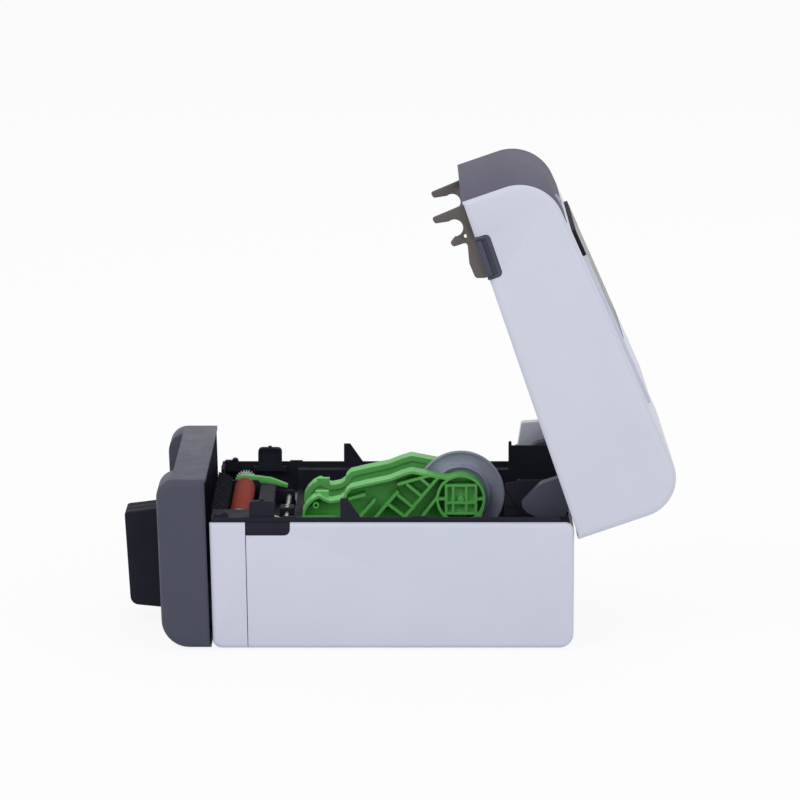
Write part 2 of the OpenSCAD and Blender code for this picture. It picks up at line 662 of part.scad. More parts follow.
// Platen frame and comb
ring_r = 8.3;
cheek_x = 54.8;
cheek_t = 3.2;
cheek_front = 11.2;
cheek_rear = 35.4;
cheek_up = 5;
cheek_drop = 14;
cheek_r = 2.4;
bush_r = 7;
throat_half = 4.8;
frame_half = 69.5;
frame_lead = 14.4;
frame_front = platen_y - frame_lead;
frame_rear = well_front - over;
slot_y = [13, -2];
wall_h = 11;
rail_in = 31.3;
rail_up = 8.5;
rail_r = 2;
rail_y = platen_y + rail_in;
rail_z = frame_z + rail_up;
ridge_in = [11.5, 22];
ridge_up = 17;
module ridge_outline(inset) polygon([
    [platen_y + ridge_in[0] + inset, frame_z], [platen_y + ridge_in[0] + inset, frame_z + ridge_up - inset],
    [platen_y + ridge_in[1] - inset, frame_z + ridge_up - inset], [platen_y + ridge_in[1] - inset, frame_z]]);
module platen_frame() color(black_col) difference() {
    union() {
        block([-frame_half, frame_front, frame_z], [frame_half, frame_rear, frame_z + frame_t]);
        both_sides() plate_x(cheek_x, cheek_x + cheek_t) polygon(rounded([
            [platen_y - cheek_front, frame_z, 0], [platen_y + cheek_rear, frame_z, 0],
            [platen_y + cheek_rear, rail_z + 2 * rail_r, cheek_r],
            [platen_y + cheek_drop, rail_z + 2 * rail_r, cheek_r],
            [platen_y + bush_r + cheek_r, platen_z + cheek_up, cheek_r],
            [platen_y - cheek_front, platen_z + cheek_up, cheek_r]]));
        block([-frame_half, frame_front, frame_z], [frame_half, frame_front + frame_t,
              frame_z + wall_h]);
        difference() {
            plate_x(-cheek_x + seat_gap, cheek_x - seat_gap) ridge_outline(0);
            plate_x(-cheek_x + frame_t, cheek_x - frame_t) ridge_outline(frame_t);
        }
    }
    both_sides() rod_x(bush_r + run_gap, cheek_x - over, cheek_x + cheek_t + over, platen_y, platen_z);
    both_sides() block([cheek_x - over, platen_y - throat_half, platen_z],
                       [cheek_x + cheek_t + over, platen_y + throat_half, platen_z + 3 * bush_r]);
    rod_x(rail_r + seat_gap, -cheek_x - cheek_t - over, cheek_x + cheek_t + over, rail_y, rail_z);
    both_sides() block([fork_x[0] - clear, platen_y - slot_y[0], frame_z - over],
                       [fork_x[1] + clear, platen_y - slot_y[1], frame_z + wall_h + over]);
    for (x = frame_boss_x, y = frame_boss_y)
        rod_z(screw_r, frame_z - over, frame_z + frame_t + over, x, y);
}
comb_half = 63;
comb_t = 1.4;
comb_ribs = 16;
comb_top = [13.4, 9.8];
comb_lip = 1.6;
comb_y = [-front_reach + seat_gap, platen_y - ring_r - clear];
module output_comb() color(black_col) difference() {
    comb_body();
    both_sides() block([cheek_x - fit, platen_y - cheek_front - fit, frame_z],
                       [cheek_x + cheek_t + fit, platen_y, rim_z + over]);
}
module comb_body() {
    block([-comb_half, comb_y[0], frame_z + wall_h + seat_gap],
          [comb_half, comb_y[1], frame_z + wall_h + comb_t]);
    for (i = [0 : comb_ribs - 1]) let (x = -comb_half + i * (2 * comb_half - comb_t) / (comb_ribs - 1))
        plate_x(x, x + comb_t) polygon([
            [comb_y[0], frame_z + wall_h + 2 * seat_gap], [comb_y[1], frame_z + wall_h + 2 * seat_gap],
            [comb_y[1], frame_z + wall_h + comb_top[1] - comb_lip],
            [comb_y[1] - comb_lip, frame_z + wall_h + comb_top[1]],
            [comb_y[0], frame_z + wall_h + comb_top[0]]]);
}

// Platen: shaft, rubber, gear and the two release levers
gear_x = [-80, -76.6];
shaft_out = 88;
collar_r = 4.4;
collar_at = [67.2, 69];
module platen_shaft() color(steel_col) {
    rod_x(shaft_r, -shaft_out, shaft_out, platen_y, platen_z);
    both_sides() rod_x(collar_r, collar_at[0], collar_at[1], platen_y, platen_z);
}
module platen_roller() color(rubber_col) ring_x(roller_r, shaft_r + seat_gap, -roller_half, roller_half,
                                                platen_y, platen_z);
idler_dir = -62;
pinion_dir = -95;
module platen_gear() color(gear_col) difference() {
    plate_x(gear_x[0], gear_x[1]) translate([platen_y, platen_z])
        polygon(gear_pts(platen_teeth, tooth_module, idler_dir));
    rod_x(shaft_r + seat_gap, gear_x[0] - over, gear_x[1] + over, platen_y, platen_z);
}
lever_x = [58.3, 62.5];
lever_reach = 29.5;
// Handle outline as shares of its reach, measured from the roller axis
handle_share = [[0, 0.28, 0], [0.34, 0.25, 0.3], [0.63, 0.21, 0.25], [1.03, 0.055, 0.03],
                [1.03, -0.04, 0.03], [0.63, 0.06, 0.25], [0.34, 0.085, 0.2], [0, -0.1, 0]];
module platen_lever() color(green_col) difference() {
    union() {
        rod_x(ring_r, lever_x[0], lever_x[1], platen_y, platen_z);
        intersection() {
            rod_x(bush_r, cheek_x + fit, lever_x[0] + over, platen_y, platen_z);
            block([cheek_x, platen_y - bush_r, platen_z - throat_half + fit],
                  [lever_x[0] + over, platen_y + bush_r, platen_z + throat_half - fit]);
        }
        plate_x(lever_x[0], lever_x[1]) translate([platen_y, platen_z])
            polygon(rounded([for (p = handle_share) lever_reach * p]));
    }
    rod_x(shaft_r + run_gap, cheek_x - over, lever_x[1] + over, platen_y, platen_z);
}
module platen_lever_right() platen_lever();
module platen_lever_left() mirror([1, 0, 0]) platen_lever();

// Drive: plate, motor, pinion and the stepped idler gear
plate_t = 1.2;
drive_x = -70.8;
mesh_slack = 0.05;
idler_d = (platen_teeth + idler_small_teeth) * tooth_module / 2 + mesh_slack;
idler_y = platen_y + idler_d * cos(idler_dir);
idler_z = platen_z + idler_d * sin(idler_dir);
pinion_d = (idler_large_teeth + pinion_teeth) * tooth_module / 2 + mesh_slack;
pinion_y = idler_y + pinion_d * cos(pinion_dir);
pinion_z = idler_z + pinion_d * sin(pinion_dir);
motor_half = 15;
plate_front = 3;
plate_rear = 6;
plate_foot = 12;
plate_ear = [7, 4];
plate_step = 5;
motor_len = 32;
motor_r = 4;
pilot_r = 9;
motor_shaft_r = 2.5;
idler_post_r = 2.5;
large_x = [-76.2, -73];
post_head_r = 3.8;
post_head_t = 1;
module drive_plate() color(steel_col) difference() {
    union() {
        plate_x(drive_x - plate_t, drive_x) polygon(rounded([
            [pinion_y - motor_half - plate_front, floor_z + seat_gap, 0],
            [pinion_y + motor_half + plate_rear, floor_z + seat_gap, 0],
            [pinion_y + motor_half + plate_rear, pinion_z, motor_r],
            [idler_y + plate_ear[0], idler_z + plate_ear[1], motor_r],
            [idler_y - plate_ear[0], idler_z + plate_ear[1], motor_r],
            [platen_y - ring_r, idler_z - plate_step, motor_r / 2],
            [pinion_y - motor_half - plate_front, idler_z - plate_step, 0]]));
        block([drive_x - plate_foot, pinion_y - motor_half - plate_front, floor_z + seat_gap],
              [drive_x, pinion_y + motor_half + plate_rear, floor_z + plate_t]);
    }
    rod_x(pilot_r + fit, drive_x - plate_t - over, drive_x + over, pinion_y, pinion_z);
    rod_x(idler_post_r + seat_gap, drive_x - plate_t - over, drive_x + over, idler_y, idler_z);
}
module motor() color(black_col) difference() {
    union() {
        plate_x(drive_x + seat_gap, drive_x + motor_len) polygon(rounded([
            for (c = [[-1, -1], [1, -1], [1, 1], [-1, 1]])
                [pinion_y + c[0] * motor_half, pinion_z + c[1] * motor_half, motor_r]]));
        rod_x(pilot_r, drive_x - plate_t, drive_x + over, pinion_y, pinion_z);
    }
    rod_x(motor_shaft_r + run_gap, drive_x - plate_t - over, drive_x + motor_len / 2, pinion_y, pinion_z);
}
module motor_shaft() color(steel_col)
    rod_x(motor_shaft_r, large_x[0] - fit, drive_x + motor_len / 2 - over, pinion_y, pinion_z);
module motor_pinion() color(gear_col) difference() {
    plate_x(large_x[0], large_x[1]) translate([pinion_y, pinion_z])
        polygon(gear_pts(pinion_teeth, tooth_module, pinion_dir + 180 + 180 / pinion_teeth));
    rod_x(motor_shaft_r + seat_gap, large_x[0] - over, large_x[1] + over, pinion_y, pinion_z);
}
module idler_post() color(steel_col) {
    rod_x(idler_post_r, gear_x[0] - fit, drive_x, idler_y, idler_z);
    rod_x(post_head_r, gear_x[0] - fit - post_head_t, gear_x[0] - fit, idler_y, idler_z);
}
module idler_gear() color(gear_col) difference() {
    union() {
        plate_x(large_x[0], large_x[1]) translate([idler_y, idler_z])
            polygon(gear_pts(idler_large_teeth, tooth_module, pinion_dir));
        plate_x(gear_x[0], large_x[0] + over) translate([idler_y, idler_z])
            polygon(gear_pts(idler_small_teeth, tooth_module, idler_dir + 180 + 180 / idler_small_teeth));
        rod_x(2 * idler_post_r, large_x[1] - over, drive_x - plate_t - clear, idler_y, idler_z);
    }
    rod_x(idler_post_r + run_gap, gear_x[0] - over, drive_x, idler_y, idler_z);
}

// Media sensor on its rail
sensor_half = 7;
sensor_size = [10, 5];
sensor_r = 1;
module sensor_rail() color(steel_col)
    rod_x(rail_r, -cheek_x - cheek_t, cheek_x + cheek_t, rail_y, rail_z);
module media_sensor() color(black_col) difference() {
    plate_x(-sensor_half, sensor_half) translate([rail_y, rail_z]) polygon(rounded([
        [-sensor_size[0] / 2, -sensor_size[1], sensor_r], [sensor_size[0] / 2, -sensor_size[1], sensor_r],
        [sensor_size[0] / 2, sensor_size[1] - sensor_r, sensor_r],
        [-sensor_size[0] / 2, sensor_size[1] - sensor_r, sensor_r]]));
    rod_x(rail_r + run_gap, -sensor_half - over, sensor_half + over, rail_y, rail_z);
}

// Roll holder: two ribbed arms on guide rods, coupled by racks and a pinion
arm_in = 75.6;
arm_y = rear_reach - arm_in;
arm_z = rim_z - boss_clear / 2;
arm_end_r = 17;
arm_rib = 1.8;
arm_web = 2.6;
arm_face = 1;
end_recess = 4;
end_wall = 2;
disc_shaft_r = 5;
// Arm outline from its round end: shares of its length and of its peak height
arm_outline_share = [
    [-1.000, -0.70, 0.01], [-0.998, -0.40, 0.03], [-0.974, -0.18, 0.03], [-0.941, 0.00, 0.03],
    [-0.894, 0.135, 0.02], [-0.853, 0.00, 0.02], [-0.820, -0.065, 0.02], [-0.764, 0.00, 0.015],
    [-0.736, 0.11, 0.01], [-0.724, 0.27, 0.01], [-0.699, 0.405, 0.015], [-0.602, 0.535, 0.05],
    [-0.449, 0.715, 0.05], [-0.376, 0.875, 0.03], [-0.311, 0.985, 0.03], [-0.182, 0.85, 0.04],
    [-0.092, 0.76, 0.02], [0.110, 0.76, 0.13], [0.160, -0.115, 0.15], [0.100, -1.15, 0.06],
    [0.110, -2.76, 0.03], [-0.480, -2.76, 0.03], [-0.520, -2.00, 0.06], [-0.700, -0.95, 0.06],
    [-0.800, -0.70, 0.04]];
// Ribs inside the arm: end points in the same shares
arm_ribs_share = [
    [[-0.67, -0.85], [-0.546, -0.065]], [[-0.57, -0.85], [-0.40, 0.225]], [[-0.385, -0.85], [-0.138, 0.785]],
    [[-0.275, -0.85], [-0.15, 0.045]], [[-0.449, -0.225], [-0.33, -0.725]],
    [[-0.392, 0.11], [-0.299, -0.315]],
    [[-0.336, 0.49], [-0.25, 0.10]], [[-0.25, 0.695], [-0.198, 0.45]], [[-0.392, 0.515], [-0.19, 0.83]],
    [[-0.70, 0.00], [-0.61, 0.135]], [[-0.60, -0.85], [-0.13, -0.85]], [[-0.48, -1.70], [0.10, -1.70]],
    [[-0.10, -2.76], [-0.10, -0.85]], [[-0.30, -2.76], [-0.30, -1.70]]];
nose_at_share = [-0.914, -0.225];
nose_r = [2.2, 1];
pad_share = [[-0.917, -0.05], [-0.835, 0.175]];
post_share = [-0.31, 0.22];
end_box_share = [[-0.54, -0.54], [0.56, 0.50]];
end_slot_share = [[0.66, -0.35], [0.78, 0.20]];
function arm_share(p) = [p[0] * arm_len, p[1] * arm_up];
module arm_shape() {
    polygon(rounded([for (p = arm_outline_share) [p[0] * arm_len, p[1] * arm_up, p[2] * arm_len]]));
    circle(r = arm_end_r);
}
module rib_line(a, b, w) let (d = unit2(b - a) * w / 2, n = [-d[1], d[0]])
    polygon([a - d - n, b + d - n, b + d + n, a - d + n]);
module rod_eyes(r) for (y = guide_y) translate([y - arm_y, guide_z - arm_z]) circle(r = r);
// Pockets between the ribs on the outer face
module arm_pockets() difference() {
    offset(delta = -arm_rib) arm_shape();
    for (r = arm_ribs_share) rib_line(arm_share(r[0]), arm_share(r[1]), arm_rib);
    difference() {
        circle(r = arm_end_r);
        circle(r = arm_end_r - arm_rib);
        polygon(box_pts(arm_end_r * end_slot_share[0], arm_end_r * end_slot_share[1]));
    }
    polygon(box_pts(arm_end_r * end_box_share[0] - [arm_rib, arm_rib],
                    arm_end_r * end_box_share[1] + [arm_rib, arm_rib]));
    polygon(box_pts([-arm_end_r, -arm_rib / 2], [arm_end_r, arm_rib / 2]));
    translate(arm_share(nose_at_share)) circle(r = nose_r[0]);
    rod_eyes(guide_r + 1.5 * arm_rib);
}
// Recess of the round end, with two posts and a small boss left standing
module end_pocket() difference() {
    polygon(box_pts(arm_end_r * end_box_share[0], arm_end_r * end_box_share[1]));
    for (x = post_share) polygon(box_pts([x * arm_end_r - arm_rib / 2, -arm_end_r],
                                         [x * arm_end_r + arm_rib / 2, arm_end_r]));
    circle(r = nose_r[0]);
    polygon(box_pts([-arm_end_r, -2 * arm_rib], [arm_end_r, -arm_rib]));
}
// Shallow recess of the inner face, away from the round end and the rods
module face_recess() difference() {
    offset(r = arm_rib) offset(delta = -3 * arm_rib) arm_shape();
    circle(r = arm_end_r + arm_rib);
    rod_eyes(3 * guide_r);
    translate([-arm_len, -4 * arm_up]) square([2 * arm_len, 3 * arm_up]);
}
foot_cut_gap = 1;
rack_end = 10;
rack_reach = arm_travel + rack_end;
rack_back = 5;
rack_z = well_floor + centre_gap;
rack_teeth = [-12, 8];
key_in = [1, 0.4];
key_t = 3.6;
key_top = 32.5;
module arm_rack(back_side) translate([0, centre_y + (back_side ? centre_rp : -centre_rp), rack_z])
    linear_extrude(height = centre_t)
        polygon([for (p = rack_pts(PI * rod_pitch, rod_pitch, rack_teeth[0], rack_teeth[1], rack_back))
            [p[0], back_side ? -p[1] + mesh_slack : p[1] - mesh_slack]]);
module arm_plate(x0, x1) plate_x(arm_gap_half + x0, arm_gap_half + x1) translate([arm_y, arm_z]) children();
module roll_arm(back_side) color(green_col) difference() {
    union() {
        difference() {
            arm_plate(0, arm_t) difference() {
                arm_shape();
                translate([-arm_len, rack_z + centre_t + foot_cut_gap - arm_z - 2 * arm_up])
                    square([2 * arm_len, 2 * arm_up]);
            }
            arm_plate(arm_web, arm_t + over) arm_pockets();
            arm_plate(arm_t - end_recess, arm_t + over) end_pocket();
            arm_plate(-over, arm_face) face_recess();
            rod_x(nose_r[1], arm_gap_half + arm_web, arm_gap_half + arm_t + over,
                  arm_y + arm_share(nose_at_share)[0], arm_z + arm_share(nose_at_share)[1]);
        }
        arm_plate(0, 2 * arm_web) polygon(box_pts(arm_share(pad_share[0]), arm_share(pad_share[1])));
        intersection() {
            arm_rack(back_side);
            block([-rack_reach, centre_y - 3 * centre_rp, 0],
                  [arm_gap_half + arm_t, centre_y + 3 * centre_rp, arm_z]);
        }
        let (y0 = centre_y + (back_side ? centre_rp + rod_pitch + key_in[0]
                                        : -centre_rp - rod_pitch - rack_back + key_in[1]))
            block([arm_gap_half, y0, rack_z], [arm_gap_half + arm_t, y0 + key_t, well_floor + key_top]);
    }
    for (y = guide_y) rod_x(guide_r + run_gap, arm_gap_half - over, arm_gap_half + arm_t + over, y, guide_z);
    rod_x(disc_shaft_r + run_gap, arm_gap_half - over, arm_gap_half + arm_t - end_recess - end_wall,
          arm_y, arm_z);
}
module roll_arm_right() roll_arm(true);
module roll_arm_left() mirror([1, 0, 0]) roll_arm(false);
module centring_pinion() color(black_col) difference() {
    translate([0, centre_y, rack_z]) linear_extrude(height = centre_t)
        polygon(gear_pts(centre_teeth, rod_pitch, 90 + 180 / centre_teeth));
    rod_z(centre_post_r + run_gap, rack_z - over, rack_z + centre_t + over, 0, centre_y);
}
disc_rim = 1.6;
disc_step_r = 19;
disc_step = 2.5;
shaft_end_gap = 7;
hub_t = 8.2;
module revolve_x(x0, pts) translate([x0, arm_y, arm_z]) rotate([0, 90, 0]) rotate_extrude() polygon(pts);
module spool_disc() color(disc_col) {
    revolve_x(arm_gap_half - clear - disc_t, [[0, 0], [disc_r - 2 * disc_rim, 0],
        [disc_r - disc_rim, disc_t / 3], [disc_r, disc_t - 2 * disc_rim], [disc_r, disc_t - disc_rim],
        [disc_r - disc_rim, disc_t - disc_rim], [disc_r - disc_rim, disc_t - 2 * disc_rim],
        [disc_step_r + disc_rim, disc_t - 2 * disc_rim], [disc_step_r + disc_rim, disc_t],
        [disc_step_r, disc_t], [disc_step_r, disc_t - disc_step], [0, disc_t - disc_step]]);
    rod_x(disc_shaft_r, arm_gap_half - clear - disc_step - over, arm_gap_half + arm_t - shaft_end_gap,
          arm_y, arm_z);
}
module spool_hub() color(disc_col) mirror([1, 0, 0]) {
    revolve_x(arm_gap_half - clear - hub_t, [[0, 0], [hub_r - 2 * disc_rim, 0],
        [hub_r, hub_t - disc_rim], [hub_r, hub_t], [0, hub_t]]);
    rod_x(disc_shaft_r, arm_gap_half - clear - over, arm_gap_half + arm_t - shaft_end_gap, arm_y, arm_z);
}

// Electronics under the tray
module main_board() color(board_col)
    block([board_lo[0], board_lo[1], board_z + seat_gap], [board_hi[0], board_hi[1], board_z + board_t]);
module port_body(x, size) block([x, rear_reach - port_depth, port_z],
                                [x + size[0], rear_reach + port_out, port_z + size[1]]);
socket_wall = 1;
socket_depth = 9;
tongue = [5.6, 3.2];
module usb_socket() color(steel_col) difference() {
    port_body(usb_x, usb_size);
    difference() {
        block([usb_x + socket_wall, rear_reach + port_out - socket_depth, port_z + socket_wall],
              [usb_x + usb_size[0] - socket_wall, rear_reach + over, port_z + usb_size[1] - socket_wall]);
        block([usb_x + (usb_size[0] - tongue[0]) / 2, 0, port_z + (usb_size[1] - tongue[1]) / 2],
              [usb_x + (usb_size[0] + tongue[0]) / 2, rear_reach - port_out,
               port_z + (usb_size[1] + tongue[1]) / 2]);
    }
}
lan_wall = 2;
lan_step = [5.2, 2.4];
module lan_socket() color(steel_col) difference() {
    port_body(lan_x, lan_size);
    socket_y = rear_reach + port_out - socket_depth;
    block([lan_x + lan_wall, socket_y - lan_wall, port_z + lan_wall + lan_step[1]],
          [lan_x + lan_size[0] - lan_wall, rear_reach + over, port_z + lan_size[1] - lan_wall]);
    block([lan_x + (lan_size[0] - lan_step[0]) / 2, socket_y, port_z + lan_wall],
          [lan_x + (lan_size[0] + lan_step[0]) / 2, rear_reach + over, port_z + lan_size[1] - lan_wall]);
}
inlet_bore_r = 3.2;
inlet_pin_r = 1.1;
module power_inlet() color(black_col) {
    difference() {
        port_body(inlet_x, inlet_size);
        rod_y(inlet_bore_r, rear_reach - socket_depth, rear_reach + over, inlet_x + inlet_size[0] / 2,
              port_z + inlet_size[1] / 2);
    }
    rod_y(inlet_pin_r, rear_reach - socket_depth - over, rear_reach - port_out,
          inlet_x + inlet_size[0] / 2, port_z + inlet_size[1] / 2);
}
switch_wall = 1.6;
rocker_t = 8.2;
rocker_rise = 1.6;
rocker_turn = 9;
rocker_pin_r = 1.5;
rocker_in = 4.4;
rocker_foot = 3;
rocker_r = [1, 0.8, 4];
rocker_x = switch_x + switch_size[0] / 2;
rocker_y = rear_reach - rocker_in;
module switch_housing() color(black_col) difference() {
    port_body(switch_x, switch_size);
    block([switch_x, rear_reach - port_depth, port_z] + switch_wall * [1, 1, 1],
          [switch_x + switch_size[0] - switch_wall, rear_reach + over,
           port_z + switch_size[1] - switch_wall]);
    rod_z(rocker_pin_r + run_gap, port_z + switch_wall / 3, port_z + switch_size[1] - switch_wall / 3,
          rocker_x, rocker_y);
}
module power_rocker() color(black_col) {
    translate([rocker_x, rocker_y, port_z + switch_wall + fit])
        linear_extrude(height = switch_size[1] - 2 * switch_wall - 2 * fit)
            polygon(rounded([
                [-rocker_t, -rocker_rise, rocker_r[0]], [-rocker_foot, -rocker_in, rocker_r[0]],
                [rocker_foot, -rocker_in, rocker_r[0]], [rocker_t, -rocker_rise, rocker_r[0]],
                [rocker_t, rocker_in / 2, rocker_r[1]], [0, rocker_in * 3 / 4, rocker_r[2]],
                [-rocker_t, rocker_in, rocker_r[1]]]));
    rod_z(rocker_pin_r, port_z + switch_wall / 2, port_z + switch_size[1] - switch_wall / 2,
          rocker_x, rocker_y);
}

// Lid: white shell, dark band, raised crown and window
band_share = 0.85;
band_edge = 3.6;
crown_up = 2.6;
crown_rear_share = 0.28;
window_end_share = 0.81;
trim_len = 19;
crown_side = 8;
crown_r = 2;
frame_rim = 6;
glass_t = 2;
latch_len = 30;
latch_u = [lid_y - seam_y - latch_len, lid_y - seam_y];
latch_h = 10.6;
latch_r = 3.5;
lid_front_h = lid_h - lid_fall;
function top_v(u) = lid_h - lid_fall * u / lid_len;
lid_corners = [lid_pt(0, 0), lid_pt(lid_len, 0), lid_pt(lid_len, lid_front_h, lid_front_r),
               lid_pt(0, lid_h, lid_rear_r)];
crown_u = [crown_rear_share * lid_len, window_end_share * lid_len];
window_u = [crown_u[1] - window_len, crown_u[1]];
module lid_blank() soft_slab(rounded(lid_corners), half_w, lid_fillet);
module lid_hollow() plate_x(-half_w + shell_t, half_w - shell_t) polygon(rounded([
    lid_pt(shell_t, -over), lid_pt(lid_len - shell_t, -over),
    lid_pt(lid_len - shell_t, lid_front_h - shell_t, lid_front_r - shell_t),
    lid_pt(shell_t, lid_h - shell_t, lid_rear_r - shell_t)]));
module band_zone(gap) plate_x(-half_w + band_edge + gap, half_w - band_edge - gap) polygon([
    lid_pt2(band_share * lid_len + gap, lid_h + over), lid_pt2(band_share * lid_len + gap, lid_h / 2),
    lid_pt2(lid_len - lid_front_r / 2, lid_h / 2 - over), lid_pt2(lid_len - lid_front_r / 2, -over),
    lid_pt2(lid_len + over, -over), lid_pt2(lid_len + over, lid_h + over)]);
function lid_pt2(u, v) = flat2(lid_pt(u, v));
// Strip that follows the lid's top line, from u0 to u1 and from a to b above it
module top_strip(u0, u1, a, b) polygon([lid_pt2(u0, top_v(u0) + a), lid_pt2(u1, top_v(u1) + a),
                                        lid_pt2(u1, top_v(u1) + b), lid_pt2(u0, top_v(u0) + b)]);
module latch_outline(gap) polygon(rounded([
    lid_pt(latch_u[1] - gap, 0), lid_pt(latch_u[0] + gap, 0),
    lid_pt(latch_u[0] + gap, latch_h - gap, latch_r),
    lid_pt(latch_u[1] - gap, latch_h - gap, latch_r)]));
module crown_slab(in) plate_x(-crown_half + in, crown_half - in) children();
module lid_shell() color(white_col) open_pose() difference() {
    union() {
        difference() {
            lid_blank();
            lid_hollow();
        }
        crown_slab(0) top_strip(crown_u[0], crown_u[1] - trim_len, -shell_t / 2, crown_up);
    }
    crown_slab(crown_side) top_strip(window_u[0], window_u[1], 0, 2 * crown_up);
    band_zone(0);
    both_sides() plate_x(half_w - shell_t - over, half_w + over) latch_outline(0);
    crown_slab(crown_side + frame_rim)
        top_strip(window_u[0] + frame_rim, window_u[1] - frame_rim, -3 * shell_t, 3 * shell_t);
}
module lid_band() color(panel_col) open_pose() difference() {
    intersection() {
        lid_blank();
        band_zone(fit);
    }
    lid_hollow();
    feed_cut(fit);
}
module window_frame() color(black_col) open_pose() difference() {
    union() {
        crown_slab(crown_side + fit) top_strip(window_u[0] + fit, window_u[1], seat_gap, crown_up);
        crown_slab(0) top_strip(window_u[1] - trim_len + fit, window_u[1], seat_gap, crown_up);
    }
    crown_slab(crown_side + frame_rim / 2)
        top_strip(window_u[0] + frame_rim / 2, window_u[1] - frame_rim / 2, -over, 2 * crown_up);
}
module lid_window() color(smoke_col) open_pose()
    crown_slab(crown_side + frame_rim / 2 + fit)
        top_strip(window_u[0] + frame_rim / 2 + fit, window_u[1] - frame_rim / 2 - fit,
                  crown_up - glass_t - seat_gap, crown_up - seat_gap);

// Feed button in the band's top
feed_r = 6;
feed_x = 62;
feed_in = 9.5;
feed_u = band_share * lid_len + feed_in;
feed_up = 0.8;
feed_travel = 1;
feed_stem = 5;
module on_top_line(u) translate([0, lid_y - u, lid_z + top_v(u)])
    rotate([atan(lid_fall / lid_len), 0, 0]) children();
module feed_cut(gap) on_top_line(feed_u) translate([feed_x, 0, -feed_stem])
    cylinder(r = feed_r + gap, h = 2 * feed_stem);
module feed_button() color(disc_col) open_pose() on_top_line(feed_u) translate([feed_x, 0, 0]) {
    translate([0, 0, -feed_stem]) cylinder(r = feed_r, h = feed_stem + feed_up);
}

// Latch plates and their sliding buttons on the lid's sides
button_in = 2.5;
button_u = [latch_u[0] + button_in, latch_u[1] - button_in];
button_v = [0.6, 4.2];
button_r = 1;
button_out = 1.4;
button_travel = 3;
pocket_d = 1.2;
module latch_plates() color(panel_col) open_pose() both_sides() difference() {
    plate_x(half_w - shell_t, half_w) latch_outline(fit);
    plate_x(half_w - pocket_d, half_w + over) polygon(rounded([
        lid_pt(button_u[1] + fit, -over), lid_pt(button_u[0] - fit, -over),
        lid_pt(button_u[0] - fit, button_v[1] + button_travel + fit, button_r),
        lid_pt(button_u[1] + fit, button_v[1] + button_travel + fit, button_r)]));
}
module latch_button() color(panel_col) open_pose()
    plate_x(half_w - pocket_d + run_gap, half_w + button_out) polygon(rounded([
        lid_pt(button_u[1], button_v[0], button_r), lid_pt(button_u[0], button_v[0], button_r),
        lid_pt(button_u[0], button_v[1], button_r), lid_pt(button_u[1], button_v[1], button_r)]));
module latch_button_right() latch_button();
module latch_button_left() mirror([1, 0, 0]) latch_button();

// Hinge arms that carry the lid on the pins
knuckle_r = 6.8;
arm_x = [66, 76];
// Arm outline from the pin, in shares of the knuckle's radius
arm_bend_share = [[-0.7, 0.5, 0], [-2.9, 1.6, 0.4], [-3.55, 2.4, 0.5], [-1.5, 4.55, 1.8], [0.3, 5.1, 0.3],
                  [1.5, 6, 0.3], [3.1, 2.4, 0.4], [1.1, 1.75, 0.3], [0.8, -0.4, 0]];
root_v = [10, 44];
root_u = [26, 38];
root_r = 3;
module hinge_arm() color(panel_col) difference() {
    union() {
        plate_x(arm_x[0], arm_x[1]) translate([hinge_y, hinge_z]) {
            polygon(rounded([for (p = arm_bend_share) knuckle_r * p]));
            circle(r = knuckle_r);
        }
        open_pose() plate_x(arm_x[0], arm_x[1]) polygon(rounded([
            lid_pt(shell_t + seat_gap, root_v[1]), lid_pt(shell_t + seat_gap, root_v[0]),
            lid_pt(root_u[0], root_v[0], root_r), lid_pt(root_u[1], root_v[0] + over, root_r),
            lid_pt(root_u[0] / 2, root_v[1], root_r)]));
    }
    rod_x(hinge_pin_r + run_gap, arm_x[0] - over, arm_x[1] + over, hinge_y, hinge_z);
}
module hinge_arm_right() hinge_arm();
module hinge_arm_left() mirror([1, 0, 0]) hinge_arm();

// Ribbon cradle with its two spindles
cradle_x = 88;
cradle_t = 2.4;
cradle_at = [-103.4, 11.6];
cradle_u = [head_u + cradle_at[0], head_u + cradle_at[1]];
cradle_v = [3, 56];
cradle_cut = [8, 24, 50];
cradle_r = [3, 6, 8];
rewind_back = 21.4;
spindle_v = 36;
rewind_at = [head_u - rewind_back, spindle_v];
supply_at = [rewind_at[0] - spindle_pitch, spindle_v];
spindle_half = 57;
journal_r = 4;
collar_t = 2;
bar_w = 6;
bar_h = 14;
bar_in = 1;
bar_v = [44, 28];
beam_at = [-6.9, 7.6];
beam_u = [head_u + beam_at[0], head_u + beam_at[1]];
beam_v = [22.2, 26];
strut_in = [6, 12];
strut_v = [46, 50];
spring_x = 40;
pin_r = 2;
pin_floor = 1;
module cradle_bar(u, v) plate_x(-cradle_x - seat_gap, cradle_x + seat_gap)
    polygon(box_pts(lid_pt2(u + bar_w, v), lid_pt2(u, v + bar_h)));
module cradle_side() plate_x(cradle_x, cradle_x + cradle_t) polygon(rounded([
    lid_pt(cradle_u[0], cradle_cut[1], cradle_r[1]),
    lid_pt(cradle_u[0], cradle_v[1] + cradle_cut[0], cradle_r[1]),
    lid_pt(cradle_u[1], cradle_v[1] - cradle_cut[0], cradle_r[2]),
    lid_pt(cradle_u[1], cradle_v[0], cradle_r[0]),
    lid_pt(cradle_u[1] - cradle_cut[2], cradle_v[0], cradle_r[1])]));
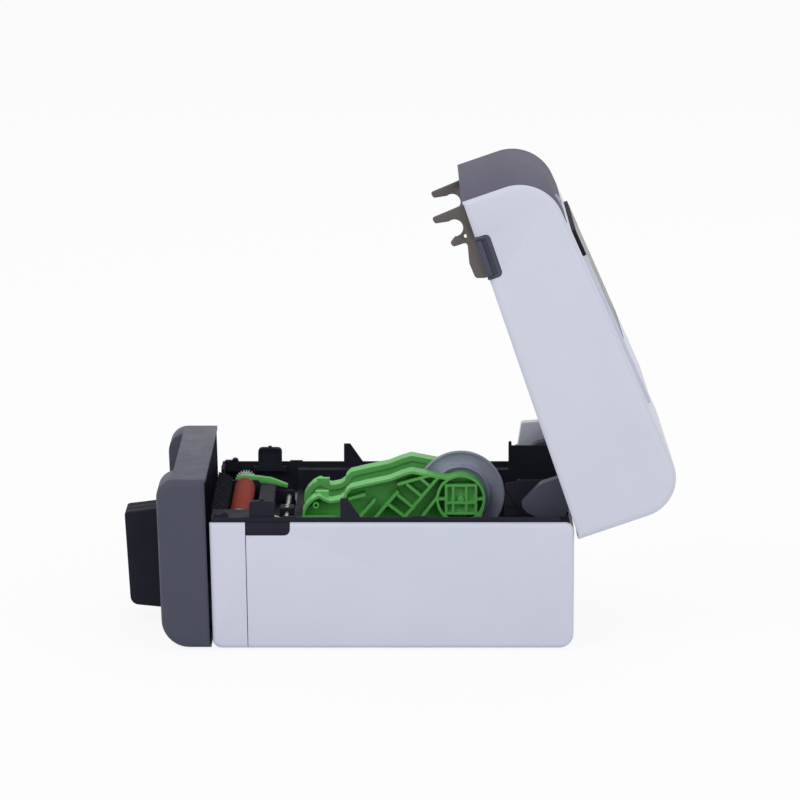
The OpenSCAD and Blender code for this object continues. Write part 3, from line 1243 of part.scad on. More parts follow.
module ribbon_cradle() color(black_col) open_pose() difference() {
    union() {
        both_sides() cradle_side();
        cradle_bar(cradle_u[0] + bar_in, bar_v[0]);
        cradle_bar(cradle_u[1] - bar_w - bar_in, bar_v[1]);
        block([-cradle_x - seat_gap, lid_y - beam_u[1], lid_z + beam_v[0]],
              [cradle_x + seat_gap, lid_y - beam_u[0], lid_z + beam_v[1]]);
        both_sides() rod_z(pin_r, lid_z + carrier_v[0] + pin_floor + head_travel + over / 2,
                           lid_z + beam_v[0] + over, spring_x, platen_y);
        both_sides() for (u = [cradle_u[0] + strut_in[0], cradle_u[1] - strut_in[1]])
            plate_x(cradle_x + cradle_t - seat_gap, half_w - shell_t - seat_gap)
                polygon(box_pts(lid_pt2(u + strut_v[1] - strut_v[0], strut_v[0]), lid_pt2(u, strut_v[1])));
    }
    for (p = [supply_at, rewind_at]) rod_x(journal_r + run_gap, -cradle_x - cradle_t - over,
        cradle_x + cradle_t + over, lid_pt(p[0], p[1])[0], lid_pt(p[0], p[1])[1]);
}
spindle_fins = 3;
fin_h = 1.4;
fin_w = 2;
module spindle(p, end) let (y = lid_pt(p[0], p[1])[0], z = lid_pt(p[0], p[1])[1]) open_pose() {
    rod_x(spindle_r, -spindle_half, spindle_half, y, z);
    rod_x(journal_r, -cradle_x - cradle_t - end, cradle_x + cradle_t, y, z);
    both_sides() rod_x(spindle_r + 2 * fin_h, spindle_half - seat_gap, spindle_half + collar_t, y, z);
    for (i = [0 : spindle_fins - 1]) translate([0, y, z]) rotate([i * 360 / spindle_fins, 0, 0])
        block([-spindle_half, -fin_w / 2, 0], [spindle_half, fin_w / 2, spindle_r + fin_h]);
}
module supply_spindle() color(disc_col) spindle(supply_at, 0);
rewind_gear_t = 3;
rewind_teeth = 32;
rewind_module = 0.7;
module rewind_spindle() color(disc_col) spindle(rewind_at, rewind_gear_t + fit);
module rewind_gear() color(gear_col) let (y = lid_pt(rewind_at[0], 0)[0], z = lid_pt(0, rewind_at[1])[1])
    open_pose() difference() {
        plate_x(-cradle_x - cradle_t - fit - rewind_gear_t, -cradle_x - cradle_t - fit) translate([y, z])
            polygon(gear_pts(rewind_teeth, rewind_module, 0));
        rod_x(journal_r + seat_gap, -half_w, 0, y, z);
    }

// Print head: sprung carrier, steel forks and the head strip
fork_x = [64.2, 65.8];
// A point of the closed lid measured from the roller's axis
function head_pt(u, v, r = 0) = lid_pt(head_u + u, head_v + v, r);
carrier_half = 56.5;
head_gap = 0.35;
carrier_v = [1.2, 12];
head_travel = 1.5;
head_half = 54;
head_w = 12;
notch_r = 5.8;
// Fork outline around the roller axis: reaches of its prongs and body
fork_neck = [13.6, 12.6];
fork_neck_v = [3, 4];
fork_front = [10.5, -11.4];
fork_front_in = 3.4;
fork_rear = [-8.5, -4.8];
fork_rear_in = 3.4;
fork_mouth = [0.4, 2, 1.4, 3];
fork_belly = [5, 1.6, 26];
fork_tail = [-37, 2.2, 9];
fork_tail_in = 2;
fork_r = [1, 1.6, 2, 3];
fork_eye = [7.6, 5.3, 1.3];
module fork_outline() difference() {
    polygon(rounded([
        head_pt(fork_neck[0], carrier_v[0] + fork_neck_v[0] - head_v),
        head_pt(fork_neck[1], fork_neck_v[1], fork_r[3]),
        head_pt(fork_front[0] + fork_r[0], fork_front[1] - fork_r[0], fork_r[1]),
        head_pt(fork_front[0] - fork_front_in, fork_front[1], fork_r[1]),
        head_pt(notch_r - fork_mouth[0], -fork_mouth[1], fork_r[0]),
        head_pt(0, fork_mouth[3]),
        head_pt(-notch_r + fork_mouth[0], -fork_mouth[2], fork_r[0]),
        head_pt(fork_rear[0], fork_rear[1] - fork_mouth[2], fork_r[2]),
        head_pt(fork_rear[0] - fork_rear_in, fork_rear[1], fork_r[2]),
        head_pt(fork_rear[0] - fork_rear_in, fork_belly[0], fork_r[2]),
        head_pt(-fork_belly[2], fork_belly[1], fork_r[3]),
        head_pt(fork_tail[0], fork_tail[1], fork_r[3]),
        head_pt(fork_tail[0] - fork_tail_in, fork_tail[2], fork_r[2]),
        head_pt(fork_tail[0], carrier_v[0] + fork_neck_v[0] - head_v)]));
    translate([platen_y, platen_z]) circle(r = notch_r);
    translate([platen_y + fork_eye[0], platen_z + fork_eye[1]]) circle(r = fork_eye[2]);
}
module head_forks() color(sheet_col) open_pose() both_sides() {
    plate_x(fork_x[0], fork_x[1]) fork_outline();
    bridge(0);
}
bridge_in = 4;
bridge_u = [10, 20];
bridge_v = [1.6, 3];
bridge_z = lid_z + carrier_v[0];
module bridge(gap) block(
    [carrier_half - bridge_in - gap, platen_y + bridge_u[0] - gap, bridge_z + bridge_v[0] - gap],
    [fork_x[0] + seat_gap, platen_y + bridge_u[1] + gap, bridge_z + bridge_v[1] + gap]);
carrier_at = [-22, -8, 10];
carrier_r = [1, 3];
carrier_drop = [5, 3];
strip_t = 3;
strip_half = 1;
module head_carrier() color(black_col) open_pose() difference() {
    plate_x(-carrier_half + seat_gap, carrier_half - seat_gap) polygon(rounded([
        lid_pt(head_u + carrier_at[0], carrier_v[0], carrier_r[0]),
        lid_pt(head_u + carrier_at[2], carrier_v[0], carrier_r[0]),
        lid_pt(head_u + carrier_at[2], carrier_v[1] - carrier_drop[1], carrier_r[1]),
        lid_pt(head_u + carrier_at[1], carrier_v[1], carrier_r[1]),
        lid_pt(head_u + carrier_at[0], carrier_v[1] - carrier_drop[0], carrier_r[1])]));
    both_sides() bridge(seat_gap);
    both_sides() rod_z(pin_r + run_gap, lid_z + carrier_v[0] + pin_floor, lid_z + carrier_v[1] + over,
                       spring_x, platen_y);
}
module print_head() color(steel_col) open_pose() plate_x(-head_half, head_half) polygon([
    lid_pt2(head_u - head_w / 2, carrier_v[0] - seat_gap),
    lid_pt2(head_u + head_w / 2, carrier_v[0] - seat_gap),
    lid_pt2(head_u + head_w / 2, carrier_v[0] - strip_t),
    lid_pt2(head_u + strip_half, head_v + roller_r + head_gap),
    lid_pt2(head_u - strip_half, head_v + roller_r + head_gap),
    lid_pt2(head_u - head_w / 2, carrier_v[0] - strip_t)]);
// Head springs: one coil around each guide pin, as a twisted lens-shaped section
spring_r = 3.1;
spring_wire = 0.4;
spring_turns = 5;
spring_gap = head_travel + fit;
spring_len = beam_v[0] - carrier_v[1] - spring_gap;
lens_steps = 12;
spring_slices = 90;
module head_springs() color(steel_col) open_pose() both_sides()
    translate([spring_x, platen_y, lid_z + carrier_v[1] + seat_gap])
        linear_extrude(height = spring_len, twist = 360 * spring_turns, slices = spring_slices,
                       $fn = lens_steps)
            polygon([for (i = [0 : lens_steps - 1])
                let (a = 360 * i / lens_steps, lean = atan(spring_len / (2 * PI * spring_r * spring_turns)),
                     r = spring_r + spring_wire * sin(a),
                     t = spring_wire * cos(a) / sin(lean) / spring_r * 180 / PI)
                r * [cos(t), sin(t)]]);

lower_case();
side_cover_right();
side_cover_left();
front_panel();
module_body();
module_shell_right();
module_shell_left();
inner_tray();
platen_frame();
output_comb();
platen_shaft();
platen_roller();
platen_gear();
platen_lever_right();
platen_lever_left();
drive_plate();
motor();
motor_shaft();
motor_pinion();
idler_post();
idler_gear();
sensor_rail();
media_sensor();
latch_catch_right();
latch_catch_left();
roll_arm_right();
roll_arm_left();
guide_rods();
centring_pinion();
spool_disc();
spool_hub();
rear_housing();
rear_cap();
hinge_pins();
main_board();
usb_socket();
lan_socket();
power_inlet();
switch_housing();
power_rocker();
rubber_feet();
case_screws();
lid_shell();
lid_band();
window_frame();
lid_window();
ribbon_cradle();
hinge_arm_right();
hinge_arm_left();
latch_plates();
latch_button_right();
latch_button_left();
head_carrier();
head_forks();
print_head();
head_springs();
supply_spindle();
rewind_spindle();
rewind_gear();
feed_button();
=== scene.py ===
"""Looks of a desktop label printer: finishes, small fittings, light and camera over its CAD frame.

Everything is in metres, in the CAD model's own frame: +X is the near side in the photograph,
-Y is the printer's front and +Z is up. The CAD nodes keep their shapes and get finishes and
softened edges here, and each small fitting that the CAD leaves out is built as a mesh of its own.
"""

import json
import logging
import math
from dataclasses import dataclass, field
from enum import Enum
from typing import Sequence

import bmesh
import bpy
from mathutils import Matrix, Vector

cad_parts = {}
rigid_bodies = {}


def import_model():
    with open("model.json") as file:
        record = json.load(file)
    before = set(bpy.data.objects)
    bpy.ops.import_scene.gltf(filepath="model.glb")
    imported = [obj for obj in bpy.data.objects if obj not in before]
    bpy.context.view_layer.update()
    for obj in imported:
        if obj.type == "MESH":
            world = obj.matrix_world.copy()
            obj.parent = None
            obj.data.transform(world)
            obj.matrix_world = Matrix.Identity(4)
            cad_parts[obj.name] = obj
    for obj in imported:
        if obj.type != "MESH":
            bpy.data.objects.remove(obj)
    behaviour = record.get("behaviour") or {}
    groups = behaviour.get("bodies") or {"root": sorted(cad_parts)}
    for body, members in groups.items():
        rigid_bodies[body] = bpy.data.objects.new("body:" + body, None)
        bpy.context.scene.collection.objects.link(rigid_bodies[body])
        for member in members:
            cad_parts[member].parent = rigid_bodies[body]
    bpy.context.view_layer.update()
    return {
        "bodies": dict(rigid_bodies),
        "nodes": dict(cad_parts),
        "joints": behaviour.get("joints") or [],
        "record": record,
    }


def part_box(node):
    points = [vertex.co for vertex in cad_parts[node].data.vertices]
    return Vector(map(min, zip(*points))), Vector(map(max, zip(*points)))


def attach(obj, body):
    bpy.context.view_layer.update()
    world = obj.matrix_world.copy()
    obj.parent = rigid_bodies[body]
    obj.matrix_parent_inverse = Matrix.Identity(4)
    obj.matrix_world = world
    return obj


log = logging.getLogger("printer_looks")
Colour = tuple[float, float, float]
Point = tuple[float, float, float]
Profile = tuple[tuple[float, float], ...]
Dressing = dict[str, tuple["Finishes", float]]

# Edges: points nearer than the gap are one, and the angles are between neighbouring faces.
WELD_GAP = 0.000004
FLAT_BELOW = math.radians(0.6)
SMOOTH_BELOW = math.radians(32)
FITTING_SHARP_ABOVE = math.radians(35)
BEVEL_ABOVE = math.radians(40)
SOFT_EDGE_STEPS = 2
RING_SIDES = 32

# Patterns: noise cells in a metre, octaves, and the part of a noise's range that is in use.
CLOUD_CELLS = 18
SMUDGE_CELLS = 60
SMUDGE_OCTAVES = 5
GRAIN_OCTAVES = 2
NOISE_LOW, NOISE_HIGH = 0.3, 0.7

# Worn edges: how near an edge wear shows, how much lighter it is, and the alikeness of the real
# and the rounded normal at which it is full and at which it ends.
WEAR_RADIUS = 0.0009
WEAR_LIGHTENING = 1.9
WEAR_FULL, WEAR_NONE = 0.7, 0.99
ROUNDING_SAMPLES = 4


class Grain(Enum):
    """The kinds of fine surface relief that the printer's parts have."""

    SPARKED = "sparked"
    GROUND = "ground"
    DRAWN = "drawn"
    ROLLED = "rolled"
    PLAIN = "plain"


GRAIN_STRETCH: dict[Grain, Point] = {
    Grain.DRAWN: (0.06, 1, 1),
    Grain.ROLLED: (1, 0.08, 0.3),
    Grain.GROUND: (1, 0.25, 0.25),
}


def srgb(red: int, green: int, blue: int) -> Colour:
    """Turns a display colour into the linear colour that a shader takes.

    Args:
        red: Red, 0 to 255.
        green: Green, 0 to 255.
        blue: Blue, 0 to 255.

    Returns:
        The linear colour.
    """

    def channel(value: int) -> float:
        """Turns one channel linear.

        Args:
            value: The display level, 0 to 255.

        Returns:
            The linear level, 0 to 1.
        """
        share = value / 255
        if share <= 0.04045:
            return share / 12.92
        return ((share + 0.055) / 1.055) ** 2.4

    return channel(red), channel(green), channel(blue)


def put_in_scene(name: str, data: bpy.types.ID) -> bpy.types.Object:
    """Makes an object and links it to the scene.

    Args:
        name: The object's name.
        data: Its mesh, camera or light.

    Returns:
        The new object.
    """
    thing = bpy.data.objects.new(name, data)
    bpy.context.scene.collection.objects.link(thing)
    return thing


class Bench:
    """The node tree of a material or of the world while it is being wired."""

    def __init__(self, owner: bpy.types.Material | bpy.types.World) -> None:
        """Clears the owner's tree and keeps it at hand.

        Args:
            owner: The material or world to wire.
        """
        owner.use_nodes = True
        self.tree = owner.node_tree
        self.tree.nodes.clear()

    def add(self, kind: str, **settings: object) -> bpy.types.Node:
        """Adds a node and sets its properties.

        Args:
            kind: The node's type name.
            **settings: Properties of the node by name.

        Returns:
            The new node.
        """
        node = self.tree.nodes.new(kind)
        for name, value in settings.items():
            setattr(node, name, value)
        return node

    def join(self, source: bpy.types.NodeSocket, target: bpy.types.NodeSocket) -> None:
        """Links two sockets."""
        self.tree.links.new(source, target)

    def blend_colours(
        self, share: bpy.types.NodeSocket, first: Colour, second: Colour
    ) -> bpy.types.NodeSocket:
        """Mixes two colours by a share.

        Args:
            share: Socket with the share of the second colour.
            first: The colour at 0.
            second: The colour at 1.

        Returns:
            The mixed colour's socket.
        """
        mix = self.add("ShaderNodeMix", data_type="RGBA")
        mix.inputs[6].default_value = (*first, 1)
        mix.inputs[7].default_value = (*second, 1)
        self.join(share, mix.inputs[0])
        return mix.outputs[2]

    def spread(
        self, value: bpy.types.NodeSocket, low: float, high: float, start: float = 0, end: float = 1
    ) -> bpy.types.NodeSocket:
        """Maps a value from one range to another.

        Args:
            value: Socket with the value.
            low: The result at start.
            high: The result at end.
            start: The value's low end.
            end: The value's high end.

        Returns:
            The mapped value's socket.
        """
        span = self.add("ShaderNodeMapRange")
        limits = {"From Min": start, "From Max": end, "To Min": low, "To Max": high}
        for name, number in limits.items():
            span.inputs[name].default_value = number
        self.join(value, span.inputs["Value"])
        return span.outputs["Result"]

    def noise(
        self, place: bpy.types.NodeSocket, scale: float, detail: float = 3
    ) -> bpy.types.NodeSocket:
        """Adds a noise pattern.

        Args:
            place: Socket with the place on the object.
            scale: Cells in a metre.
            detail: Octaves of the noise.

        Returns:
            The pattern's value socket.
        """
        node = self.add("ShaderNodeTexNoise")
        node.inputs["Scale"].default_value = scale
        node.inputs["Detail"].default_value = detail
        self.join(place, node.inputs["Vector"])
        return node.outputs["Fac"]

    def seen_directly(self) -> bpy.types.NodeSocket:
        """Adds the test for rays that see the background itself.

        Returns:
            A socket that is 1 for camera, glossy and transmission rays.
        """
        path = self.add("ShaderNodeLightPath")
        first = self.add("ShaderNodeMath", operation="MAXIMUM")
        second = self.add("ShaderNodeMath", operation="MAXIMUM")
        self.join(path.outputs["Is Camera Ray"], first.inputs[0])
        self.join(path.outputs["Is Glossy Ray"], first.inputs[1])
        self.join(first.outputs[0], second.inputs[0])
        self.join(path.outputs["Is Transmission Ray"], second.inputs[1])
        return second.outputs[0]


@dataclass(frozen=True)
class Finish:
    """One finish of the printer, from moulded plastic to ground rubber.

    Attributes:
        name: The material's name.
        colour: Linear base colour.
        roughness: Middle of the roughness range.
        grain: Kind of fine relief.
        grain_size: Size of one grain in metres.
        grain_depth: Depth of the grain in metres.
        metallic: 1 for a metal.
        wear: Share of lightening along edges.
        mottle: Share of slow colour variation.
        coat: Weight of a clear coat.
        gloss: Level of the plain reflection, 0.5 for common plastic.
        soft: Radius of the edge rounding drawn by the shader, in metres.
        smudge: How far the roughness strays to either side.
    """

    name: str
    colour: Colour
    roughness: float
    grain: Grain = Grain.SPARKED
    grain_size: float = 0.0006
    grain_depth: float = 0.00002
    metallic: float = 0.0
    wear: float = 0.25
    mottle: float = 0.06
    coat: float = 0.0
    gloss: float = 0.5
    soft: float = 0.0
    smudge: float = 0.07

    def shade(self, factor: float) -> Colour:
        """Returns the base colour made lighter or darker by a factor."""
        red, green, blue = (min(1.0, channel * factor) for channel in self.colour)
        return red, green, blue

    def relief(self, bench: Bench, place: bpy.types.NodeSocket) -> bpy.types.NodeSocket:
        """Builds the height pattern of the grain.

        Args:
            bench: The tree being wired.
            place: Socket with the place on the object.

        Returns:
            The height's socket, 0 to 1.
        """
        if self.grain in GRAIN_STRETCH:
            stretch = bench.add("ShaderNodeMapping")
            stretch.inputs["Scale"].default_value = GRAIN_STRETCH[self.grain]
            bench.join(place, stretch.inputs["Vector"])
            place = stretch.outputs["Vector"]
        return bench.noise(place, 1 / self.grain_size, GRAIN_OCTAVES)

    def build(self) -> bpy.types.Material:
        """Makes the material.

        Returns:
            The wired material.
        """
        material = bpy.data.materials.new(self.name)
        bench = Bench(material)
        out = bench.add("ShaderNodeOutputMaterial")
        shader = bench.add("ShaderNodeBsdfPrincipled")
        bench.join(shader.outputs[0], out.inputs[0])
        place = bench.add("ShaderNodeTexCoord").outputs["Object"]
        cloud = bench.noise(place, CLOUD_CELLS)
        fine = self.relief(bench, place)
        colour = bench.blend_colours(
            bench.spread(cloud, 0, 1, NOISE_LOW, NOISE_HIGH),
            self.shade(1 - self.mottle), self.shade(1 + self.mottle))
        bench.join(self.worn(bench, colour), shader.inputs["Base Color"])
        smudges = bench.noise(place, SMUDGE_CELLS, SMUDGE_OCTAVES)
        rough = bench.spread(smudges, self.roughness - self.smudge, self.roughness + self.smudge,
                             NOISE_LOW, NOISE_HIGH)
        bench.join(rough, shader.inputs["Roughness"])
        shader.inputs["Metallic"].default_value = self.metallic
        shader.inputs["Coat Weight"].default_value = self.coat
        shader.inputs["Specular IOR Level"].default_value = self.gloss
        bump = bench.add("ShaderNodeBump")
        bump.inputs["Distance"].default_value = self.grain_depth
        bench.join(fine, bump.inputs["Height"])
        if self.soft:
            rounding = bench.add("ShaderNodeBevel", samples=ROUNDING_SAMPLES)
            rounding.inputs["Radius"].default_value = self.soft
            bench.join(rounding.outputs[0], bump.inputs["Normal"])
        bench.join(bump.outputs[0], shader.inputs["Normal"])
        self.extra(bench, shader, place)
        return material

    def worn(self, bench: Bench, colour: bpy.types.NodeSocket) -> bpy.types.NodeSocket:
        """Lightens the colour along handled edges.

        Args:
            bench: The tree being wired.
            colour: Socket with the colour so far.

        Returns:
            The worn colour's socket.
        """
        if not self.wear:
            return colour
        edge = bench.add("ShaderNodeBevel", samples=ROUNDING_SAMPLES)
        edge.inputs["Radius"].default_value = WEAR_RADIUS
        face = bench.add("ShaderNodeNewGeometry")
        alike = bench.add("ShaderNodeVectorMath", operation="DOT_PRODUCT")
        bench.join(edge.outputs[0], alike.inputs[0])
        bench.join(face.outputs["Normal"], alike.inputs[1])
        share = bench.spread(alike.outputs["Value"], self.wear, 0, WEAR_FULL, WEAR_NONE)
        mix = bench.add("ShaderNodeMix", data_type="RGBA")
        bench.join(share, mix.inputs[0])
        bench.join(colour, mix.inputs[6])
        mix.inputs[7].default_value = (*self.shade(WEAR_LIGHTENING), 1)
        return mix.outputs[2]

    def extra(self, bench: Bench, shader: bpy.types.Node, place: bpy.types.NodeSocket) -> None:
        """Lets a finish of its own add to the shader; the plain finish adds nothing."""


@dataclass(frozen=True)
class SmokedWindow(Finish):
    """Smoked clear plastic of the lid's window.

    Attributes:
        clearness: Share of the light that goes through.
        refraction: Refractive index of the plastic.
    """

    clearness: float = 0.55
    refraction: float = 1.49

    def extra(self, bench: Bench, shader: bpy.types.Node, place: bpy.types.NodeSocket) -> None:
        """Makes the plastic see-through."""
        shader.inputs["Transmission Weight"].default_value = self.clearness
        shader.inputs["IOR"].default_value = self.refraction


@dataclass(frozen=True)
class BoardLacquer(Finish):
    """Green circuit board with copper tracks under its lacquer.

    Attributes:
        fields: Fields between the tracks in a metre.
        track_edge: Where a track's colour starts to fade, as a share of a field.
        track_end: Where it has faded.
        track_light: How much lighter the tracks are.
    """

    fields: float = 260
    track_edge: float = 0.03
    track_end: float = 0.06
    track_light: float = 1.7

    def extra(self, bench: Bench, shader: bpy.types.Node, place: bpy.types.NodeSocket) -> None:
        """Draws tracks along the cell edges of a Voronoi pattern.

        Args:
            bench: The tree being wired.
            shader: The finish's shader node.
            place: Socket with the place on the object.
        """
        cells = bench.add("ShaderNodeTexVoronoi", feature="DISTANCE_TO_EDGE")
        cells.inputs["Scale"].default_value = self.fields
        bench.join(place, cells.inputs["Vector"])
        track = bench.spread(cells.outputs["Distance"], 1, 0, self.track_edge, self.track_end)
        tracks = bench.blend_colours(track, self.colour, self.shade(self.track_light))
        bench.join(tracks, shader.inputs["Base Color"])


class Finishes(Enum):
    """Every finish on the printer."""

    WHITE = Finish("white_shell", srgb(208, 210, 224), 0.46, grain_size=0.0005,
                   grain_depth=0.000012, wear=0.08, mottle=0.012)
    PANEL = Finish("dark_panel", srgb(75, 77, 91), 0.55, grain_size=0.0006, grain_depth=0.00002,
                   wear=0.16, mottle=0.02, gloss=0.2)
    BAND = Finish("dark_band", srgb(82, 80, 98), 0.65, grain_size=0.0006, grain_depth=0.000003,
                  wear=0.1, mottle=0.01, gloss=0.18, smudge=0.015)
    BLACK = Finish("black_plastic", srgb(34, 34, 46), 0.78, grain_size=0.0007, grain_depth=0.00002,
                   wear=0.12, mottle=0.08, gloss=0.16, soft=0.0003)
    GREEN = Finish("green_plastic", srgb(96, 186, 90), 0.5, grain_size=0.0008, grain_depth=0.00002,
                   wear=0.25, mottle=0.05, soft=0.0004)
    GREY = Finish("grey_plastic", srgb(152, 155, 176), 0.42, grain_size=0.0008, grain_depth=0.00003,
                  wear=0.3, mottle=0.05)
    GEAR = Finish("gear_plastic", srgb(208, 210, 220), 0.35, grain_size=0.0009, grain_depth=0.00001,
                  wear=0.1, mottle=0.03)
    STEEL = Finish("turned_steel", srgb(176, 176, 180), 0.28, Grain.DRAWN, grain_size=0.0004,
                   grain_depth=0.00001, metallic=1.0, wear=0.1, mottle=0.08)
    SHEET = Finish("sheet_steel", srgb(104, 99, 98), 0.42, Grain.ROLLED, grain_size=0.0005,
                   grain_depth=0.00001, metallic=0.9, wear=0.25, mottle=0.10)
    RUBBER = Finish("platen_rubber", srgb(140, 58, 50), 0.85, Grain.GROUND, grain_size=0.0005,
                    grain_depth=0.00002, wear=0.12, mottle=0.06, gloss=0.12)
    FEET = Finish("feet_rubber", srgb(30, 30, 33), 0.75, grain_depth=0.00004, wear=0.1)
    WINDOW = SmokedWindow("smoked_window", srgb(58, 58, 70), 0.3, Grain.PLAIN, grain_size=0.004,
                          grain_depth=0.000004, wear=0.0, gloss=0.35)
    BOARD = BoardLacquer("circuit_board", srgb(26, 92, 54), 0.35, Grain.PLAIN, grain_size=0.002,
                         grain_depth=0.00001, wear=0.0)
    GOLD = Finish("plated_contact", srgb(206, 170, 96), 0.3, Grain.DRAWN, grain_size=0.0004,
                  grain_depth=0.000005, metallic=1.0, wear=0.1, mottle=0.06)
    CERAMIC = Finish("heating_strip", srgb(96, 70, 52), 0.2, Grain.PLAIN, grain_size=0.002,
                     grain_depth=0.000005, wear=0.05, coat=0.5)
    LENS = Finish("light_lens", srgb(150, 196, 120), 0.2, Grain.PLAIN, grain_size=0.002,
                  grain_depth=0.000005, wear=0.0, coat=0.6)
    CHIP = Finish("chip_case", srgb(34, 35, 38), 0.55, grain_size=0.0003, grain_depth=0.00001,
                  wear=0.08)


class Paintbox:
    """Builds each finish once and hands it out."""

    def __init__(self) -> None:
        """Starts with no finish built."""
        self.made: dict[Finishes, bpy.types.Material] = {}

    def get(self, finish: Finishes) -> bpy.types.Material:
        """Gives the material of a finish, and builds it on first use.

        Args:
            finish: The finish asked for.

        Returns:
            Its material.
        """
        if finish not in self.made:
            self.made[finish] = finish.value.build()
        return self.made[finish]

    def coat(self, node: bpy.types.Object, finish: Finishes) -> None:
        """Puts one finish on every slot of an object.

        Args:
            node: The object to dress.
            finish: The finish to use.
        """
        material = self.get(finish)
        if not node.data.materials:
            node.data.materials.append(material)
        for index in range(len(node.data.materials)):
            node.data.materials[index] = material


class EdgeCare:
    """Softens edges of CAD nodes with modifiers, so their vertices stay as packed."""

    def __init__(self) -> None:
        """Builds the shared node group that smooths faces across shallow edges."""
        self.group = self.smoothing_group(SMOOTH_BELOW)

    def smoothing_group(self, angle: float) -> bpy.types.NodeTree:
        """Makes a geometry node group that shades shallow edges smooth.

        Args:
            angle: Edges sharper than this stay sharp.

        Returns:
            The node group.
        """
        group = bpy.data.node_groups.new("smooth_shallow_edges", "GeometryNodeTree")
        group.interface.new_socket("Geometry", in_out="INPUT", socket_type="NodeSocketGeometry")
        group.interface.new_socket("Geometry", in_out="OUTPUT", socket_type="NodeSocketGeometry")
        start = group.nodes.new("NodeGroupInput")
        end = group.nodes.new("NodeGroupOutput")
        weld = group.nodes.new("GeometryNodeMergeByDistance")
        weld.inputs["Distance"].default_value = WELD_GAP
        faces = group.nodes.new("GeometryNodeSetShadeSmooth")
        edges = group.nodes.new("GeometryNodeSetShadeSmooth")
        edges.domain = "EDGE"
        bend = group.nodes.new("GeometryNodeInputMeshEdgeAngle")
        shallow = group.nodes.new("FunctionNodeCompare")
        shallow.operation = "LESS_THAN"
        shallow.inputs[1].default_value = angle
        link = group.links.new
        link(start.outputs[0], weld.inputs[0])
        link(weld.outputs[0], faces.inputs[0])
        link(faces.outputs[0], edges.inputs[0])
        link(bend.outputs["Unsigned Angle"], shallow.inputs[0])
        link(shallow.outputs[0], edges.inputs["Shade Smooth"])
        link(edges.outputs[0], end.inputs[0])
        return group

    def soften(self, node: bpy.types.Object, width: float) -> None:
        """Adds the smoothing group, and a small bevel where a width is given.

        Args:
            node: The object to soften.
            width: Width of the bevel in metres, or 0 for none.
        """
        if "custom_normal" in node.data.attributes:
            node.data.attributes.remove(node.data.attributes["custom_normal"])
        if width:
            weld = node.modifiers.new("weld", "WELD")
            weld.merge_threshold = WELD_GAP
            flat = node.modifiers.new("flat faces", "DECIMATE")
            flat.decimate_type = "DISSOLVE"
            flat.angle_limit = FLAT_BELOW
            bevel = node.modifiers.new("soft edges", "BEVEL")
            bevel.width = width
            bevel.segments = SOFT_EDGE_STEPS
            bevel.limit_method = "ANGLE"
            bevel.angle_limit = BEVEL_ABOVE
            bevel.use_clamp_overlap = True
            bevel.miter_outer = "MITER_ARC"
        smooth = node.modifiers.new("smooth", "NODES")
        smooth.node_group = self.group


@dataclass(frozen=True)
class Block:
    """A small block, before it is put in its place.

    Attributes:
        size: Its size along X, Y and Z.
        soft: Width of its softened edges.
    """

    size: Point
    soft: float


class Mould:
    """Gathers the faces of one small piece, drawn in the printer's own frame."""

    def __init__(self, name: str) -> None:
        """Starts an empty piece."""
        self.name = name
        self.mesh = bmesh.new()

    def turn(
        self, profile: Sequence[tuple[float, float]], place: Point, axis: Point = (0, 0, 1)
    ) -> None:
        """Adds a turned form.

        Args:
            profile: Radius and height of each ring, from the foot up. A radius of 0 is a tip.
            place: Middle of the foot.
            axis: Direction in which the height runs.
        """
        lean = Vector(axis).to_track_quat("Z", "Y").to_matrix().to_4x4()
        lean.translation = Vector(place)
        turns = [2 * math.pi * side / RING_SIDES for side in range(RING_SIDES)]
        rings = []
        for radius, height in profile:
            tip = [Vector((0, 0, height))]
            ring = [Vector((radius * math.cos(a), radius * math.sin(a), height)) for a in turns]
            rings.append([self.mesh.verts.new(lean @ spot) for spot in (ring if radius else tip)])
        for low, high in zip(rings, rings[1:]):
            for side in range(RING_SIDES):
                after = (side + 1) % RING_SIDES
                corners = [low[side % len(low)], low[after % len(low)],
                           high[after % len(high)], high[side % len(high)]]
                self.mesh.faces.new(list(dict.fromkeys(corners)))

    def block(self, middle: Point, shape: Block, tilt: "Tilt | None" = None) -> None:
        """Adds a block with softened edges.

        Args:
            middle: Where its middle is.
            shape: Its size and softness.
            tilt: The lid's turn, for a block that is drawn in the closed lid.
        """
        low = [place - size / 2 for place, size in zip(middle, shape.size)]
        high = [place + size / 2 for place, size in zip(middle, shape.size)]
        before = set(self.mesh.verts)
        corners = [self.mesh.verts.new((x, y, z))
                   for x in (low[0], high[0]) for y in (low[1], high[1]) for z in (low[2], high[2])]
        sides = ((0, 1, 3, 2), (4, 6, 7, 5), (0, 4, 5, 1), (2, 3, 7, 6), (0, 2, 6, 4), (1, 5, 7, 3))
        faces = [self.mesh.faces.new([corners[i] for i in side]) for side in sides]
        edges = list({edge for face in faces for edge in face.edges})
        bmesh.ops.bevel(self.mesh, geom=edges, offset=shape.soft, segments=SOFT_EDGE_STEPS,
                        affect="EDGES", profile=0.5)
        if tilt:
            for corner in set(self.mesh.verts) - before:
                corner.co = tilt.opened(corner.co)

    def cast(self, material: bpy.types.Material, body: str) -> bpy.types.Object:
        """Makes the piece and lets it ride on a body.

        Args:
            material: Its finish.
            body: The body that it moves with.

        Returns:
            The finished piece.
        """
        bmesh.ops.recalc_face_normals(self.mesh, faces=self.mesh.faces)
        data = bpy.data.meshes.new(self.name)
        self.mesh.to_mesh(data)
        self.mesh.free()
        data.materials.append(material)
        data.shade_smooth()
        data.set_sharp_from_angle(angle=FITTING_SHARP_ABOVE)
        piece = put_in_scene(self.name, data)
        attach(piece, body)
        return piece


